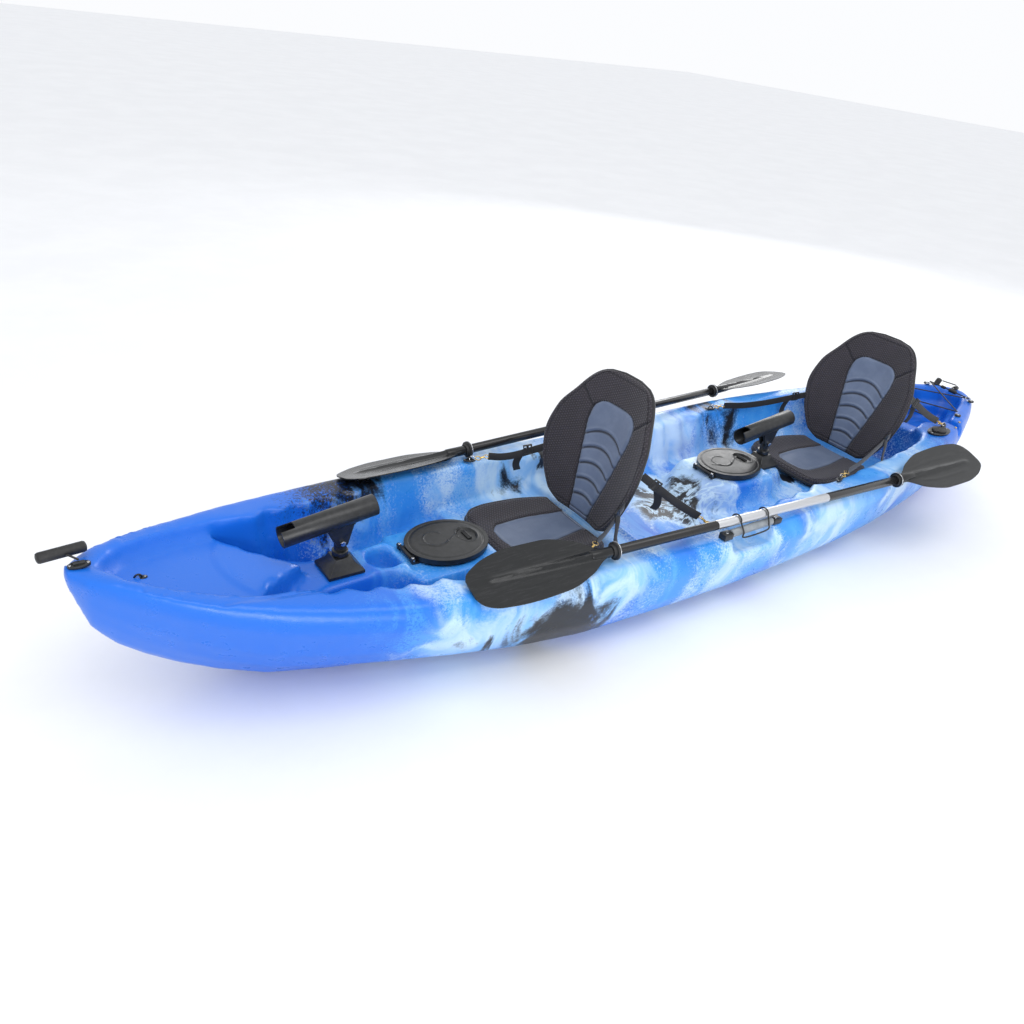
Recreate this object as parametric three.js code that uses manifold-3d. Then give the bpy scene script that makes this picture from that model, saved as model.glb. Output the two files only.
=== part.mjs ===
// A two-person sit-on-top fishing kayak: rotomoulded hull, two padded seats, two paddles, hatches, rod
// holders, carry handles and deck rigging. Millimetres, +X to the bow, +Y to port, +Z up. The origin is on
// the keel line, half-way along the hull, on the surface that the hull stands on.
import * as THREE from "three";
import { mergeVertices } from "three/addons/utils/BufferGeometryUtils.js";
import Module from "manifold-3d";

const wasm = await Module();
wasm.setup();

// ---------------------------------------------------------------------------------- driving dimensions
const LENGTH = 3700;
const BEAM = 860;
const WALL = 5; // moulded wall of the hull
const CLEARANCE = 0.4; // between pieces that touch
const RUNNING = 0.05; // radial play of a pin in its bore
const SHEER = { stern: 332, midship: 274, bow: 428 }; // height of the rim
const RIM = { stern: 56, waist: 80, midship: 118, fore: 106, bow: 54 }; // width of the rim round the wells
const FLOOR = { well: 200, cockpit: 150, seat: 162, footwell: 118 };
const RIB = { count: 4, depth: 24 }; // foot ribs moulded in the cockpit walls
const HATCH = { opening: 100, narrow: 0.78, flange: 22, thick: 5, lid: 8, skirt: 4, pin: 2.5 };
const CUP = { radius: 50, depth: 76 };
const TUBE = { radius: 29, wall: 4.5, length: 262 }; // tube of the adjustable rod holders
const FLUSH = { radius: 22, wall: 3, depth: 128, lean: 24, flange: 62, cap: 28 };
const SCUPPER = 15;
const GRIP = { radius: 13, length: 186, bore: 4 };
const TOGGLE = { radius: 13, length: 104, cord: 2.5 };
const SEAT = { length: 336, width: 384, thick: 32, back: 470, backWidth: 440, padding: 30, recline: 15 };
const STRAP = { width: 26, thick: 2.4 };
const PADDLE = { length: 2190, shaft: 15, wall: 1.6, blade: 452, bladeWidth: 184, ring: 27 };
const BUNGEE = 2.5; // radius of the shock cord

const HALF = LENGTH / 2;
const along = (share) => share * HALF; // a station on the hull, from -1 at the stern to 1 at the bow
const HATCH_REACH = HATCH.opening + HATCH.flange; // from a hatch's middle to the edge of its frame
const rearHatch = along(-0.178);
const frontSeat = along(0.204);
const frontHatch = frontSeat + SEAT.length + HATCH_REACH + 30.4;
const STATION = {
  sternEye: along(-0.944),
  button: along(-0.826),
  notch: along(-0.783),
  wellEye: along(-0.732),
  flushHolder: along(-0.688),
  rearSeat: along(-0.536),
  rearEye: along(-0.292),
  rearRod: rearHatch - HATCH_REACH - 59.3,
  rearHatch,
  drain: along(-0.024),
  sill: along(0.172),
  frontSeat,
  backEye: along(0.054),
  frontEye: along(0.325),
  frontHatch,
  cup: frontHatch + HATCH_REACH + 77.8,
  frontRod: frontHatch + HATCH_REACH + 211,
  step: along(0.708),
  bowEye: along(0.981),
};

// ---------------------------------------------------------------------------------------------- looks
const look = (color, roughness, metalness = 0) =>
  new THREE.MeshStandardMaterial({ color, roughness, metalness });
const hullBlue = look(0x2f78e0, 0.35);
const blackPlastic = look(0x17181a, 0.4);
const greyGrip = look(0x8c9399, 0.5);
const foamBlack = look(0x1d1a22, 0.9);
const webbing = look(0x101012, 0.85);
const aluminium = look(0xc4c7ca, 0.3, 1);
const bladeBlack = look(0x1f2123, 0.25);
const rubber = look(0x131313, 0.7);
const shockCord = look(0x0d0d10, 0.8);
const steel = look(0xb9bcc0, 0.25, 1);

// --------------------------------------------------------------------------------------------- solids
function solid(geometry) {
  const bare = geometry.clone();
  bare.deleteAttribute("normal");
  bare.deleteAttribute("uv");
  const g = mergeVertices(bare, 1e-4);
  const made = new wasm.Manifold(
    new wasm.Mesh({
      numProp: 3,
      vertProperties: new Float32Array(g.attributes.position.array),
      triVerts: new Uint32Array(g.index.array),
    }),
  );
  return made;
}

function geometryOf(made) {
  const mesh = made.getMesh();
  const g = new THREE.BufferGeometry();
  g.setAttribute("position", new THREE.BufferAttribute(new Float32Array(mesh.vertProperties), 3));
  g.setIndex(new THREE.BufferAttribute(new Uint32Array(mesh.triVerts), 1));
  return g;
}

const joined = (...solids) => solids.reduce((a, b) => a.add(b));
const cut = (body, ...tools) => tools.reduce((a, b) => a.subtract(b), body);
const largest = (made) => made.decompose().sort((a, b) => b.volume() - a.volume())[0];

// A closed skin through rings of points that all run the same way round. flat(point) gives the two
// coordinates in which the end caps are triangulated.
function loft(rings, flat) {
  const count = rings[0].length;
  const positions = rings.flat(2);
  const faces = [];
  for (let k = 0; k + 1 < rings.length; k++)
    for (let i = 0; i < count; i++) {
      const j = (i + 1) % count;
      const [a, b, c, d] = [k * count + i, k * count + j, (k + 1) * count + j, (k + 1) * count + i];
      faces.push(a, b, c, a, c, d);
    }
  const turn = THREE.ShapeUtils.area(rings[0].map((p) => new THREE.Vector2(...flat(p))));
  [0, rings.length - 1].forEach((k) => {
    const outline = rings[k].map((p) => new THREE.Vector2(...flat(p)));
    THREE.ShapeUtils.triangulateShape(outline, []).forEach(([a, b, c]) => {
      const same = THREE.ShapeUtils.area([outline[a], outline[b], outline[c]]) * turn > 0;
      const order = same === k > 0 ? [a, b, c] : [a, c, b];
      faces.push(...order.map((v) => k * count + v));
    });
  });
  const g = new THREE.BufferGeometry();
  g.setAttribute("position", new THREE.Float32BufferAttribute(positions, 3));
  g.setIndex(faces);
  return facingOut(g);
}

function facingOut(g) {
  const p = g.attributes.position;
  const f = g.index.array;
  const [a, b, c] = [new THREE.Vector3(), new THREE.Vector3(), new THREE.Vector3()];
  let volume = 0;
  for (let i = 0; i < f.length; i += 3) {
    a.fromBufferAttribute(p, f[i]);
    b.fromBufferAttribute(p, f[i + 1]);
    c.fromBufferAttribute(p, f[i + 2]);
    volume += a.dot(b.cross(c));
  }
  if (volume < 0) for (let i = 0; i < f.length; i += 3) [f[i + 1], f[i + 2]] = [f[i + 2], f[i + 1]];
  return g;
}

// A plate with two faces: face(u, v, side) gives a point for u and v from 0 to 1 and side 1 or -1.
function plate(face, uSteps, vSteps) {
  const positions = [];
  const faces = [];
  const row = vSteps + 1;
  const sheet = (uSteps + 1) * row;
  for (const side of [1, -1])
    for (let i = 0; i <= uSteps; i++)
      for (let j = 0; j <= vSteps; j++) positions.push(...face(i / uSteps, j / vSteps, side));
  const quad = (a, b, c, d) => faces.push(a, b, c, a, c, d);
  for (let i = 0; i < uSteps; i++)
    for (let j = 0; j < vSteps; j++) {
      const a = i * row + j;
      quad(a, a + row, a + row + 1, a + 1);
      quad(sheet + a, sheet + a + 1, sheet + a + row + 1, sheet + a + row);
    }
  for (let i = 0; i < uSteps; i++) {
    const [a, b] = [i * row, (i + 1) * row];
    quad(a, sheet + a, sheet + b, b);
    quad(b + vSteps, sheet + b + vSteps, sheet + a + vSteps, a + vSteps);
  }
  for (let j = 0; j < vSteps; j++) {
    const b = uSteps * row + j;
    quad(j + 1, sheet + j + 1, sheet + j, j);
    quad(b, sheet + b, sheet + b + 1, b + 1);
  }
  const g = new THREE.BufferGeometry();
  g.setAttribute("position", new THREE.Float32BufferAttribute(positions, 3));
  g.setIndex(faces);
  return facingOut(g);
}

const box = (x, y, z, cx, cy, cz) => solid(new THREE.BoxGeometry(x, y, z).translate(cx, cy, cz));

// A rod or tube blank from one point to another.
function rod(radius, from, to, sides = 16, radiusEnd = radius) {
  const a = new THREE.Vector3(...from);
  const b = new THREE.Vector3(...to);
  const g = new THREE.CylinderGeometry(radiusEnd, radius, a.distanceTo(b), sides);
  const turn = new THREE.Quaternion().setFromUnitVectors(
    new THREE.Vector3(0, 1, 0),
    b.clone().sub(a).normalize(),
  );
  g.applyQuaternion(turn);
  const middle = a.add(b).multiplyScalar(0.5);
  return solid(g.translate(middle.x, middle.y, middle.z));
}

// An upright elliptical drum; squash is its Y radius over its X radius.
function drum(radius, low, high, squash = 1, sides = 32) {
  const g = new THREE.CylinderGeometry(radius, radius, high - low, sides).rotateX(Math.PI / 2);
  return solid(g.scale(1, squash, 1).translate(0, 0, (low + high) / 2));
}

// The radius of a hole with flat sides in which a shaft of the given radius turns freely.
const turningHole = (radius, sides) => (radius + RUNNING) / Math.cos(Math.PI / sides);

// A cord along points, with a step every few diameters.
function cordAlong(points, radius, steps, sides = 8, tension = 0.5) {
  const path = new THREE.CatmullRomCurve3(
    points.map((p) => new THREE.Vector3(...p)),
    false,
    "catmullrom",
    tension,
  );
  const section = new THREE.Shape();
  for (let i = 0; i < sides; i++) {
    const angle = (i / sides) * 2 * Math.PI;
    section[i ? "lineTo" : "moveTo"](radius * Math.cos(angle), radius * Math.sin(angle));
  }
  return new THREE.ExtrudeGeometry(section, { steps, bevelEnabled: false, extrudePath: path });
}

// A smooth value through [station, value] pairs, with no overshoot between them.
function smooth(table) {
  const slopes = table.map((_, i) => {
    if (i === 0 || i === table.length - 1) return 0;
    const before = (table[i][1] - table[i - 1][1]) / (table[i][0] - table[i - 1][0]);
    const after = (table[i + 1][1] - table[i][1]) / (table[i + 1][0] - table[i][0]);
    return before * after <= 0 ? 0 : (2 * before * after) / (before + after);
  });
  return (x) => {
    if (x <= table[0][0]) return table[0][1];
    const k = table.findIndex(([at]) => at >= x);
    if (k < 0) return table.at(-1)[1];
    const [[x0, y0], [x1, y1]] = [table[k - 1], table[k]];
    const h = x1 - x0;
    const t = (x - x0) / h;
    const rise = y1 - y0;
    return (
      y0 +
      rise * t * t * (3 - 2 * t) +
      h * t * (1 - t) * (slopes[k - 1] * (1 - t) - slopes[k] * t)
    );
  };
}

function add(name, shape, material, group = kayak) {
  const mesh = new THREE.Mesh(shape.isBufferGeometry ? shape : geometryOf(shape), material);
  mesh.name = name;
  group.add(mesh);
  return mesh;
}

const kayak = new THREE.Group();

// ---------------------------------------------------------------------------------------- hull surface
// The lines of the hull, as shares of the half length against shares of the half beam or heights.
const beamLine = smooth([
  [-1, 0.035], [-0.993, 0.105], [-0.972, 0.215], [-0.94, 0.305], [-0.875, 0.43], [-0.776, 0.6],
  [-0.623, 0.775], [-0.284, 0.965], [0, 1], [0.297, 0.962], [0.576, 0.84], [0.755, 0.66],
  [0.87, 0.45], [0.95, 0.24], [0.987, 0.11], [1, 0.03],
]);
const halfBeam = (x) => (beamLine(x / HALF) * BEAM) / 2;
const sheer = (() => {
  const line = smooth([
    [-1, SHEER.stern], [-0.76, SHEER.stern - 6], [-0.29, SHEER.midship + 26], [0, SHEER.midship],
    [0.3, SHEER.midship + 16], [0.6, SHEER.midship + 46], [0.81, SHEER.bow - 62], [1, SHEER.bow],
  ]);
  return (x) => line(x / HALF);
})();
const keel = (() => {
  const line = smooth([
    [-1, 205], [-0.985, 150], [-0.962, 82], [-0.89, 18], [-0.78, 0], [0.73, 0], [0.785, 12],
    [0.85, 58], [0.93, 155], [0.965, 217], [0.988, 290], [1, 392],
  ]);
  return (x) => line(x / HALF);
})();

// Half sections from the keel up to the middle of the deck, as shares of the local half beam and depth.
const SECTION = {
  stern: [
    [0, 0], [0.3, 0.02], [0.62, 0.1], [0.82, 0.26], [0.94, 0.47], [1, 0.8], [0.985, 0.9], [0.92, 0.985],
    [0.88, 1], [0, 1],
  ],
  middle: [
    [0, 0], [0.35, 0], [0.7, 0.075], [0.87, 0.22], [0.945, 0.42], [1, 0.79], [0.985, 0.89], [0.95, 0.975],
    [0.925, 1], [0, 1],
  ],
  bow: [
    [0, 0], [0.12, 0.02], [0.34, 0.13], [0.56, 0.32], [0.76, 0.53], [0.97, 0.82], [0.99, 0.9], [0.94, 0.98],
    [0.89, 1], [0, 1],
  ],
};
const mix = (a, b, t) => a + (b - a) * t;
const ease = (t) => {
  const s = Math.min(1, Math.max(0, t));
  return s * s * (3 - 2 * s);
};

// One ring of the hull's skin at a station; grow moves it outwards, or inwards where it is negative.
function hullRing(x, grow) {
  const toBow = ease((x / HALF - 0.3) / 0.62);
  const toStern = ease((-x / HALF - 0.45) / 0.5);
  const breadth = halfBeam(x) + grow;
  const low = keel(x) - grow;
  const depth = sheer(x) + grow - low;
  const half = SECTION.middle.map(([y, z], i) => [
    mix(mix(y, SECTION.bow[i][0], toBow), SECTION.stern[i][0], toStern) * breadth,
    low + mix(mix(z, SECTION.bow[i][1], toBow), SECTION.stern[i][1], toStern) * depth,
  ]);
  const starboard = half.slice(1, -1).reverse().map(([y, z]) => [x, -y, z]);
  return [...half.map(([y, z]) => [x, y, z]), ...starboard];
}

const STATIONS = [
  -1, -0.994, -0.98, -0.955, -0.92, -0.87, -0.81, -0.74, -0.65, -0.55, -0.44, -0.33, -0.22, -0.11, 0, 0.11,
  0.22, 0.33, 0.44, 0.54, 0.63, 0.71, 0.78, 0.84, 0.885, 0.925, 0.955, 0.98, 1,
].map(along);
const flatYZ = ([, y, z]) => [y, z];
const flatXY = ([x, y]) => [x, y];
const skin = solid(loft(STATIONS.map((x) => hullRing(x, 0)), flatYZ));
const core = solid(
  loft(
    STATIONS.filter((x) => halfBeam(x) > 9 * WALL).map((x) => hullRing(x, -WALL)),
    flatYZ,
  ),
);

// ------------------------------------------------------------------------------- wells in the deck
const rimWidth = (() => {
  const line = smooth([
    [-1, RIM.stern], [-0.78, RIM.stern + 10], [-0.62, RIM.waist], [-0.4, RIM.midship - 10],
    [0, RIM.midship], [0.35, RIM.midship - 6], [0.6, RIM.fore], [0.76, RIM.fore - 16], [0.9, RIM.bow],
    [1, RIM.bow],
  ]);
  return (x) => line(x / HALF);
})();
const innerHalf = (x) => Math.max(8, halfBeam(x) - rimWidth(x));
const ABOVE = SHEER.bow + 120; // over everything that a well is cut from

// A closed outline from its port half, which runs from stern to bow.
const mirrored = (half) => [
  ...half,
  ...half.filter(([, y]) => y !== 0).reverse().map(([x, y]) => [x, -y]),
];

// An outline moved outwards by a distance, corner by corner.
function offset(outline, distance) {
  const turn = Math.sign(THREE.ShapeUtils.area(outline.map((p) => new THREE.Vector2(...p))));
  return outline.map(([x, y], i) => {
    const [px, py] = outline.at(i - 1);
    const [nx, ny] = outline[(i + 1) % outline.length];
    const before = new THREE.Vector2(y - py, px - x).normalize().multiplyScalar(turn);
    const after = new THREE.Vector2(ny - y, x - nx).normalize().multiplyScalar(turn);
    const normal = before.add(after).normalize();
    const stretch = Math.min(1.6, 1 / Math.max(0.3, normal.dot(after)));
    return [x + normal.x * distance * stretch, y + normal.y * distance * stretch];
  });
}

// A well with sloping walls. levels run upwards from the floor as [height, inset of the outline], where a
// height is a number or a function of x. grow makes it bigger by the thickness of the moulding.
function well(outline, levels, grow) {
  const rings = levels.map(([height, inset]) =>
    offset(outline, grow - inset).map(([x, y]) => [x, y, (height.call ? height(x) : height) - grow]),
  );
  rings.push(offset(outline, grow - levels.at(-1)[1]).map(([x, y]) => [x, y, ABOVE]));
  return solid(loft(rings, flatXY));
}

// The side of a well with foot ribs: crest and hollow points from one station to another.
function ribbed(from, to) {
  const pitch = (to - from) / RIB.count;
  const points = [];
  for (let i = 0; i < RIB.count; i++) {
    const [crest, hollow] = [from + i * pitch, from + (i + 0.55) * pitch];
    points.push([crest, innerHalf(crest) - RIB.depth], [hollow, innerHalf(hollow)]);
  }
  points.push([to, innerHalf(to) - RIB.depth]);
  return points;
}
const side = (...shares) => shares.map((share) => [along(share), innerHalf(along(share))]);

const tankOutline = mirrored([
  [along(-0.976), 0], [along(-0.971), 40], ...side(-0.95, -0.915, -0.86, -0.8),
  [along(-0.745), innerHalf(along(-0.78))], [along(-0.722), innerHalf(along(-0.78)) - 35],
  [along(-0.711), 60],
]);
const rearOutline = mirrored([
  [along(-0.676), 140], [along(-0.66), 205], [along(-0.62), innerHalf(along(-0.63)) - 12],
  ...side(-0.55, -0.45, -0.34, -0.27), ...ribbed(along(-0.235), along(-0.045)),
  ...side(-0.02, 0.07, 0.14), [along(0.162), innerHalf(along(0.17)) - 25],
]);
const foreOutline = mirrored([
  [along(0.186), innerHalf(along(0.19)) - 25], ...side(0.215, 0.3, 0.38, 0.46, 0.52),
  ...ribbed(along(0.556), along(0.735)), [along(0.808), innerHalf(along(0.81))],
  [along(0.765), 84], [STATION.step, 0],
]);
const bowOutline = mirrored([
  [along(0.69), innerHalf(along(0.82))], ...side(0.8, 0.85, 0.9, 0.935),
  [along(0.957), 22], [along(0.966), 0],
]);
const bowFloor = (x) => sheer(along(0.9)) - 62 + (x - along(0.84)) * 0.2;

// the low saddles between one well and the next
const sternSaddle = mirrored([[along(-0.73), 150], [along(-0.655), 175]]);
const sillHalf = innerHalf(STATION.sill) - 12;
const sillSaddle = mirrored([[along(0.14), sillHalf], [along(0.23), sillHalf]]);

const wells = [
  [tankOutline, [[FLOOR.well, 46], [FLOOR.well + 56, 34], [FLOOR.well + 62, 12], [SHEER.bow - 80, 0]]],
  [rearOutline, [[FLOOR.cockpit, 52], [FLOOR.cockpit + 24, 34], [sheer(0), 0]]],
  [foreOutline, [[FLOOR.footwell, 40], [FLOOR.footwell + 24, 28], [sheer(0) + 20, 0]]],
  [bowOutline, [[bowFloor, 16], [(x) => bowFloor(x) + 30, 0]]],
  [sternSaddle, [[SHEER.stern - 42, 10]]],
  [sillSaddle, [[FLOOR.cockpit + 44, 20]]],
].map(([outline, levels]) => (grow) => well(outline, levels, grow));

// Raised islands in the wells: sections [station, half width of the top, height, half width of the foot].
function island(sections, foot, grow) {
  const ends = [grow, ...Array(sections.length - 2).fill(0), -grow];
  const rings = sections.map(([x, top, height, base], i) => {
    const [t, b, h] = [Math.max(4, top + grow), base + grow, height + grow];
    return [[b, foot], [t, h - 6], [t - 5, h], [5 - t, h], [-t, h - 6], [-b, foot]].map(([y, z]) => [
      x - ends[i],
      y,
      z,
    ]);
  });
  return solid(loft(rings, flatYZ));
}
const hatchDeck = { rear: 240, front: 222 };
const DEEP = FLOOR.footwell - 60;
const hatchEdges = (at) => [at - HATCH_REACH, at + HATCH_REACH];
const pedestal = (grow) => {
  const [aft, fore] = hatchEdges(STATION.rearHatch);
  const sections = [
    [aft - 150, 48, FLOOR.cockpit + 20, 88],
    [aft - 100, 62, hatchDeck.rear - 22, 120],
    [aft - 5.7, 96, hatchDeck.rear - 22, HATCH_REACH + 28],
    [aft - 3.8, HATCH_REACH, hatchDeck.rear, HATCH_REACH + 30],
    [fore + 3.8, HATCH_REACH, hatchDeck.rear, HATCH_REACH + 43],
    [fore + 124, 60, FLOOR.cockpit + 8, 150],
  ];
  return island(sections, DEEP, grow);
};
const consoleTop = hatchDeck.front + 16;
const fishingConsole = (grow) => {
  const [aft, fore] = hatchEdges(STATION.frontHatch);
  const sections = [
    [aft - 22.3, 96, FLOOR.seat - 8, 128],
    [aft - 3.8, HATCH_REACH + 4, hatchDeck.front, 160],
    [fore + 22.3, HATCH_REACH + 4, hatchDeck.front, 166],
    [fore + 40.8, 84, consoleTop, 128],
    [fore + 113, 66, consoleTop, 104],
    [fore + 140.7, 66, consoleTop + 4, 104],
    [fore + 279.5, 74, consoleTop + 4, 108],
    [along(0.73), 120, consoleTop + 6, 170],
  ];
  return island(sections, DEEP, grow);
};
const seatStep = (grow) =>
  island([[along(0.17), 400, FLOOR.seat, 400], [along(0.4), 400, FLOOR.seat, 400]], DEEP, grow);

// Cuts that go through the islands.
const cup = (grow) =>
  rod(
    CUP.radius - 7 + grow,
    [STATION.cup, 0, consoleTop - CUP.depth - grow],
    [STATION.cup, 0, consoleTop + 30],
    18,
    CUP.radius + 2 + grow,
  );
const NOTCH = { width: 46, across: 160, tall: 110, lift: 8 };
const notches = (grow) => {
  const [y, z] = [halfBeam(STATION.notch) - 20, sheer(STATION.notch) + NOTCH.lift - grow];
  const width = NOTCH.width + 2 * grow;
  return joined(
    box(width, NOTCH.across, NOTCH.tall, STATION.notch, y, z),
    box(width, NOTCH.across, NOTCH.tall, STATION.notch, -y, z),
  );
};
const gripScoop = { radius: 44, length: GRIP.length + 3, inset: 36, low: 4 };
const gripAt = (s) => [s * (BEAM / 2 - gripScoop.inset), sheer(0) - gripScoop.low];
const scoops = (grow) =>
  joined(
    ...[1, -1].map((s) => {
      const [y, z] = gripAt(s);
      const reach = gripScoop.length / 2 + grow;
      return rod(gripScoop.radius + grow, [-reach, y, z], [reach, y, z], 14);
    }),
  );
const flushAxis = (s) => {
  const at = STATION.flushHolder;
  const lean = THREE.MathUtils.degToRad(FLUSH.lean);
  const y = s * (halfBeam(at) - 70);
  const top = [at, y, sheer(at) + 30];
  const deep = FLUSH.depth + 34;
  return [top, [at - Math.sin(lean) * deep, y, top[2] - Math.cos(lean) * deep]];
};
const flushHoles = (grow) =>
  joined(...[1, -1].map((s) => rod(FLUSH.radius + 1.2 + grow, ...flushAxis(s).reverse(), 14)));
const drainAt = [STATION.drain, innerHalf(STATION.drain) - 102];
const drains = (grow) =>
  joined(
    ...[1, -1].map((s) => {
      const [x, y] = [drainAt[0], s * drainAt[1]];
      return rod(SCUPPER + grow, [x, y, -20], [x, y, FLOOR.cockpit + 30], 10);
    }),
  );
const hatchHole = (at, deck) =>
  drum(HATCH.opening + 1.5, deck - 40, deck + 40, HATCH.narrow, 24).translate([at, 0, 0]);

const wellsWith = (grow) => {
  const islands = [pedestal(-grow), fishingConsole(-grow), seatStep(-grow)];
  const [tank, rear, fore, bow, ...saddles] = wells.map((make) => make(grow));
  return joined(
    tank,
    cut(rear, islands[0]),
    cut(fore, islands[1], islands[2]),
    bow,
    ...saddles,
    cup(grow),
    notches(grow),
    scoops(grow),
    flushHoles(grow),
    drains(grow),
  );
};
const inside = largest(cut(core, wellsWith(WALL)));
const hull = cut(
  skin,
  wellsWith(0),
  inside,
  hatchHole(STATION.rearHatch, hatchDeck.rear),
  hatchHole(STATION.frontHatch, hatchDeck.front),
);
add("hull", hull, hullBlue);

// -------------------------------------------------------------------------------------------- hatches
// An oval hatch: a flanged frame in the deck, and a lid on a hinge pin at the frame's bow side.
function hatch(prefix, at, deck) {
  const group = new THREE.Group();
  group.position.set(at, 0, deck);
  kayak.add(group);
  const { opening, narrow, flange, thick, lid, skirt, pin } = HATCH;
  const oval = (radius, low, high) =>
    drum(radius, low, high, (radius - opening * (1 - narrow)) / radius, 24);
  const collarTop = thick + 9;
  const lidOuter = opening + flange + 5;
  const hinge = [lidOuter + 5, thick + 8];
  const knuckle = pin + 3.5;
  const across = (radius, y0, y1) => rod(radius, [hinge[0], y0, hinge[1]], [hinge[0], y1, hinge[1]], 16);
  const bore = across(pin + RUNNING, -60, 60);
  const frameLugs = [1, -1].map((s) =>
    joined(
      across(knuckle, s * 33, s * 47),
      box(8, 14, hinge[1] - CLEARANCE, hinge[0], s * 40, (hinge[1] + CLEARANCE) / 2),
      box(40, 14, thick - CLEARANCE, hinge[0] - 16, s * 40, (thick + CLEARANCE) / 2),
    ),
  );
  const frame = cut(
    joined(
      oval(opening + flange, CLEARANCE, thick),
      oval(opening, -16, collarTop),
      ...frameLugs,
    ),
    oval(opening - 4, -30, 30),
    bore,
  );
  add(prefix + "_hatch_frame", frame, blackPlastic, group);

  const recess = { at: -68, half: 28, deep: 5 };
  const lidTop = collarTop + CLEARANCE + lid;
  const web = box(14, 60, 6, hinge[0] - 7, 0, hinge[1]);
  const lidBody = cut(
    joined(
      cut(oval(lidOuter, thick + 1, lidTop), oval(lidOuter - skirt, -10, collarTop + CLEARANCE)),
      across(knuckle, -32, 32),
      web,
    ),
    ...[1, -1].map((s) => box(26, 17, 40, hinge[0] - 1, s * 40, hinge[1])),
    bore,
    drum(recess.half, lidTop - recess.deep, lidTop + 10, 1.25, 24).translate([recess.at, 0, 0]),
  );
  add(prefix + "_hatch_lid", lidBody, blackPlastic, group);
  add(prefix + "_hatch_pin", across(pin, -47, 47), steel, group);

  const lever = joined(
    box(12, 40, 3.4, recess.at, 0, lidTop - recess.deep + CLEARANCE + 2.2),
    rod(3, [recess.at - 4, -20, lidTop - 1.6], [recess.at - 4, 20, lidTop - 1.6], 10),
  );
  add(prefix + "_hatch_latch", lever, blackPlastic, group);
}
hatch("rear", STATION.rearHatch, hatchDeck.rear);
hatch("front", STATION.frontHatch, hatchDeck.front);

// ----------------------------------------------------------------------------- adjustable rod holders
// A screwed-down base, a post that turns in it, and a tube that tilts on a bolt through the post's tongue.
function rodHolder(prefix, at, deck) {
  const group = new THREE.Group();
  group.position.set(at, 0, deck);
  kayak.add(group);
  const spigot = 12;
  const collar = { radius: 24, top: 44 };
  const foot = [[52, 49, CLEARANCE], [52, 49, 9], [30, 29, 30], [24, 24, collar.top]];
  const rings = foot.map(([x, y, z]) => [[x, y, z], [-x, y, z], [-x, -y, z], [x, -y, z]]);
  const base = cut(solid(loft(rings, flatXY)), drum(turningHole(spigot, 20), 16, 80, 1, 20));
  add(prefix + "_rod_base", base, blackPlastic, group);

  const pivot = 88;
  const tongue = { half: 8, reach: 15 };
  const bolt = 4;
  const post = cut(
    joined(
      drum(spigot, 17, collar.top + 4, 1, 20),
      drum(collar.radius - 2, collar.top + CLEARANCE, 60, 1, 20),
      box(2 * tongue.reach, 2 * tongue.half, pivot - 56, 0, 0, (pivot + 56) / 2),
      rod(tongue.reach, [0, -tongue.half, pivot], [0, tongue.half, pivot], 20),
    ),
    rod(turningHole(bolt, 16), [0, -30, pivot], [0, 30, pivot], 16),
  );
  add(prefix + "_rod_post", post, blackPlastic, group);

  const tilt = THREE.MathUtils.degToRad(8);
  const rise = 74;
  const ahead = 33;
  const axis = (x) => [x * Math.cos(tilt), 0, pivot + rise - x * Math.sin(tilt)];
  const [sternEnd, bowEnd] = [ahead - TUBE.length / 2, ahead + TUBE.length / 2];
  const inner = TUBE.radius - TUBE.wall;
  const ear = (s) => {
    const y = s * (tongue.half + CLEARANCE + 3.5);
    const plateOutline = [[-tongue.reach, -8], [tongue.reach, -8], [44, rise - 20], [-36, rise - 12]];
    const levels = [y - 3.5, y + 3.5].map((face) => plateOutline.map(([x, z]) => [x, face, pivot + z]));
    return joined(
      solid(loft(levels, ([x, , z]) => [x, z])),
      rod(tongue.reach, [0, y - 3.5, pivot], [0, y + 3.5, pivot], 20),
    );
  };
  const saddleOutline = [[-36, rise - 24], [44, rise - 30], [44, rise], [-36, rise]];
  const saddleHalf = tongue.half + CLEARANCE + 7;
  const saddle = solid(
    loft(
      [-saddleHalf, saddleHalf].map((y) => saddleOutline.map(([x, z]) => [x, y, pivot + z])),
      ([x, , z]) => [x, z],
    ),
  );
  const tube = cut(
    joined(rod(TUBE.radius, axis(sternEnd), axis(bowEnd), 18), ear(1), ear(-1), saddle),
    rod(inner, axis(sternEnd - 20), axis(bowEnd + 20), 18),
    rod(bolt + CLEARANCE / 2, [0, -30, pivot], [0, 30, pivot], 16),
    // the notch in the tube's upper side that lets a reel's foot in
    box(70, 30, 40, bowEnd, 0, pivot + rise + 14),
  );
  add(prefix + "_rod_tube", tube, blackPlastic, group);

  const outside = tongue.half + CLEARANCE + 7;
  const tiltBolt = joined(
    rod(bolt, [0, -outside - 4, pivot], [0, outside + 4, pivot], 16),
    rod(8, [0, outside + CLEARANCE, pivot], [0, outside + 6, pivot], 6),
    rod(8, [0, -outside - CLEARANCE, pivot], [0, -outside - 6, pivot], 12),
  );
  add(prefix + "_rod_bolt", tiltBolt, steel, group);
}
rodHolder("rear", STATION.rearRod, hatchDeck.rear - 22);
rodHolder("front", STATION.frontRod, consoleTop + 4);

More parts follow.
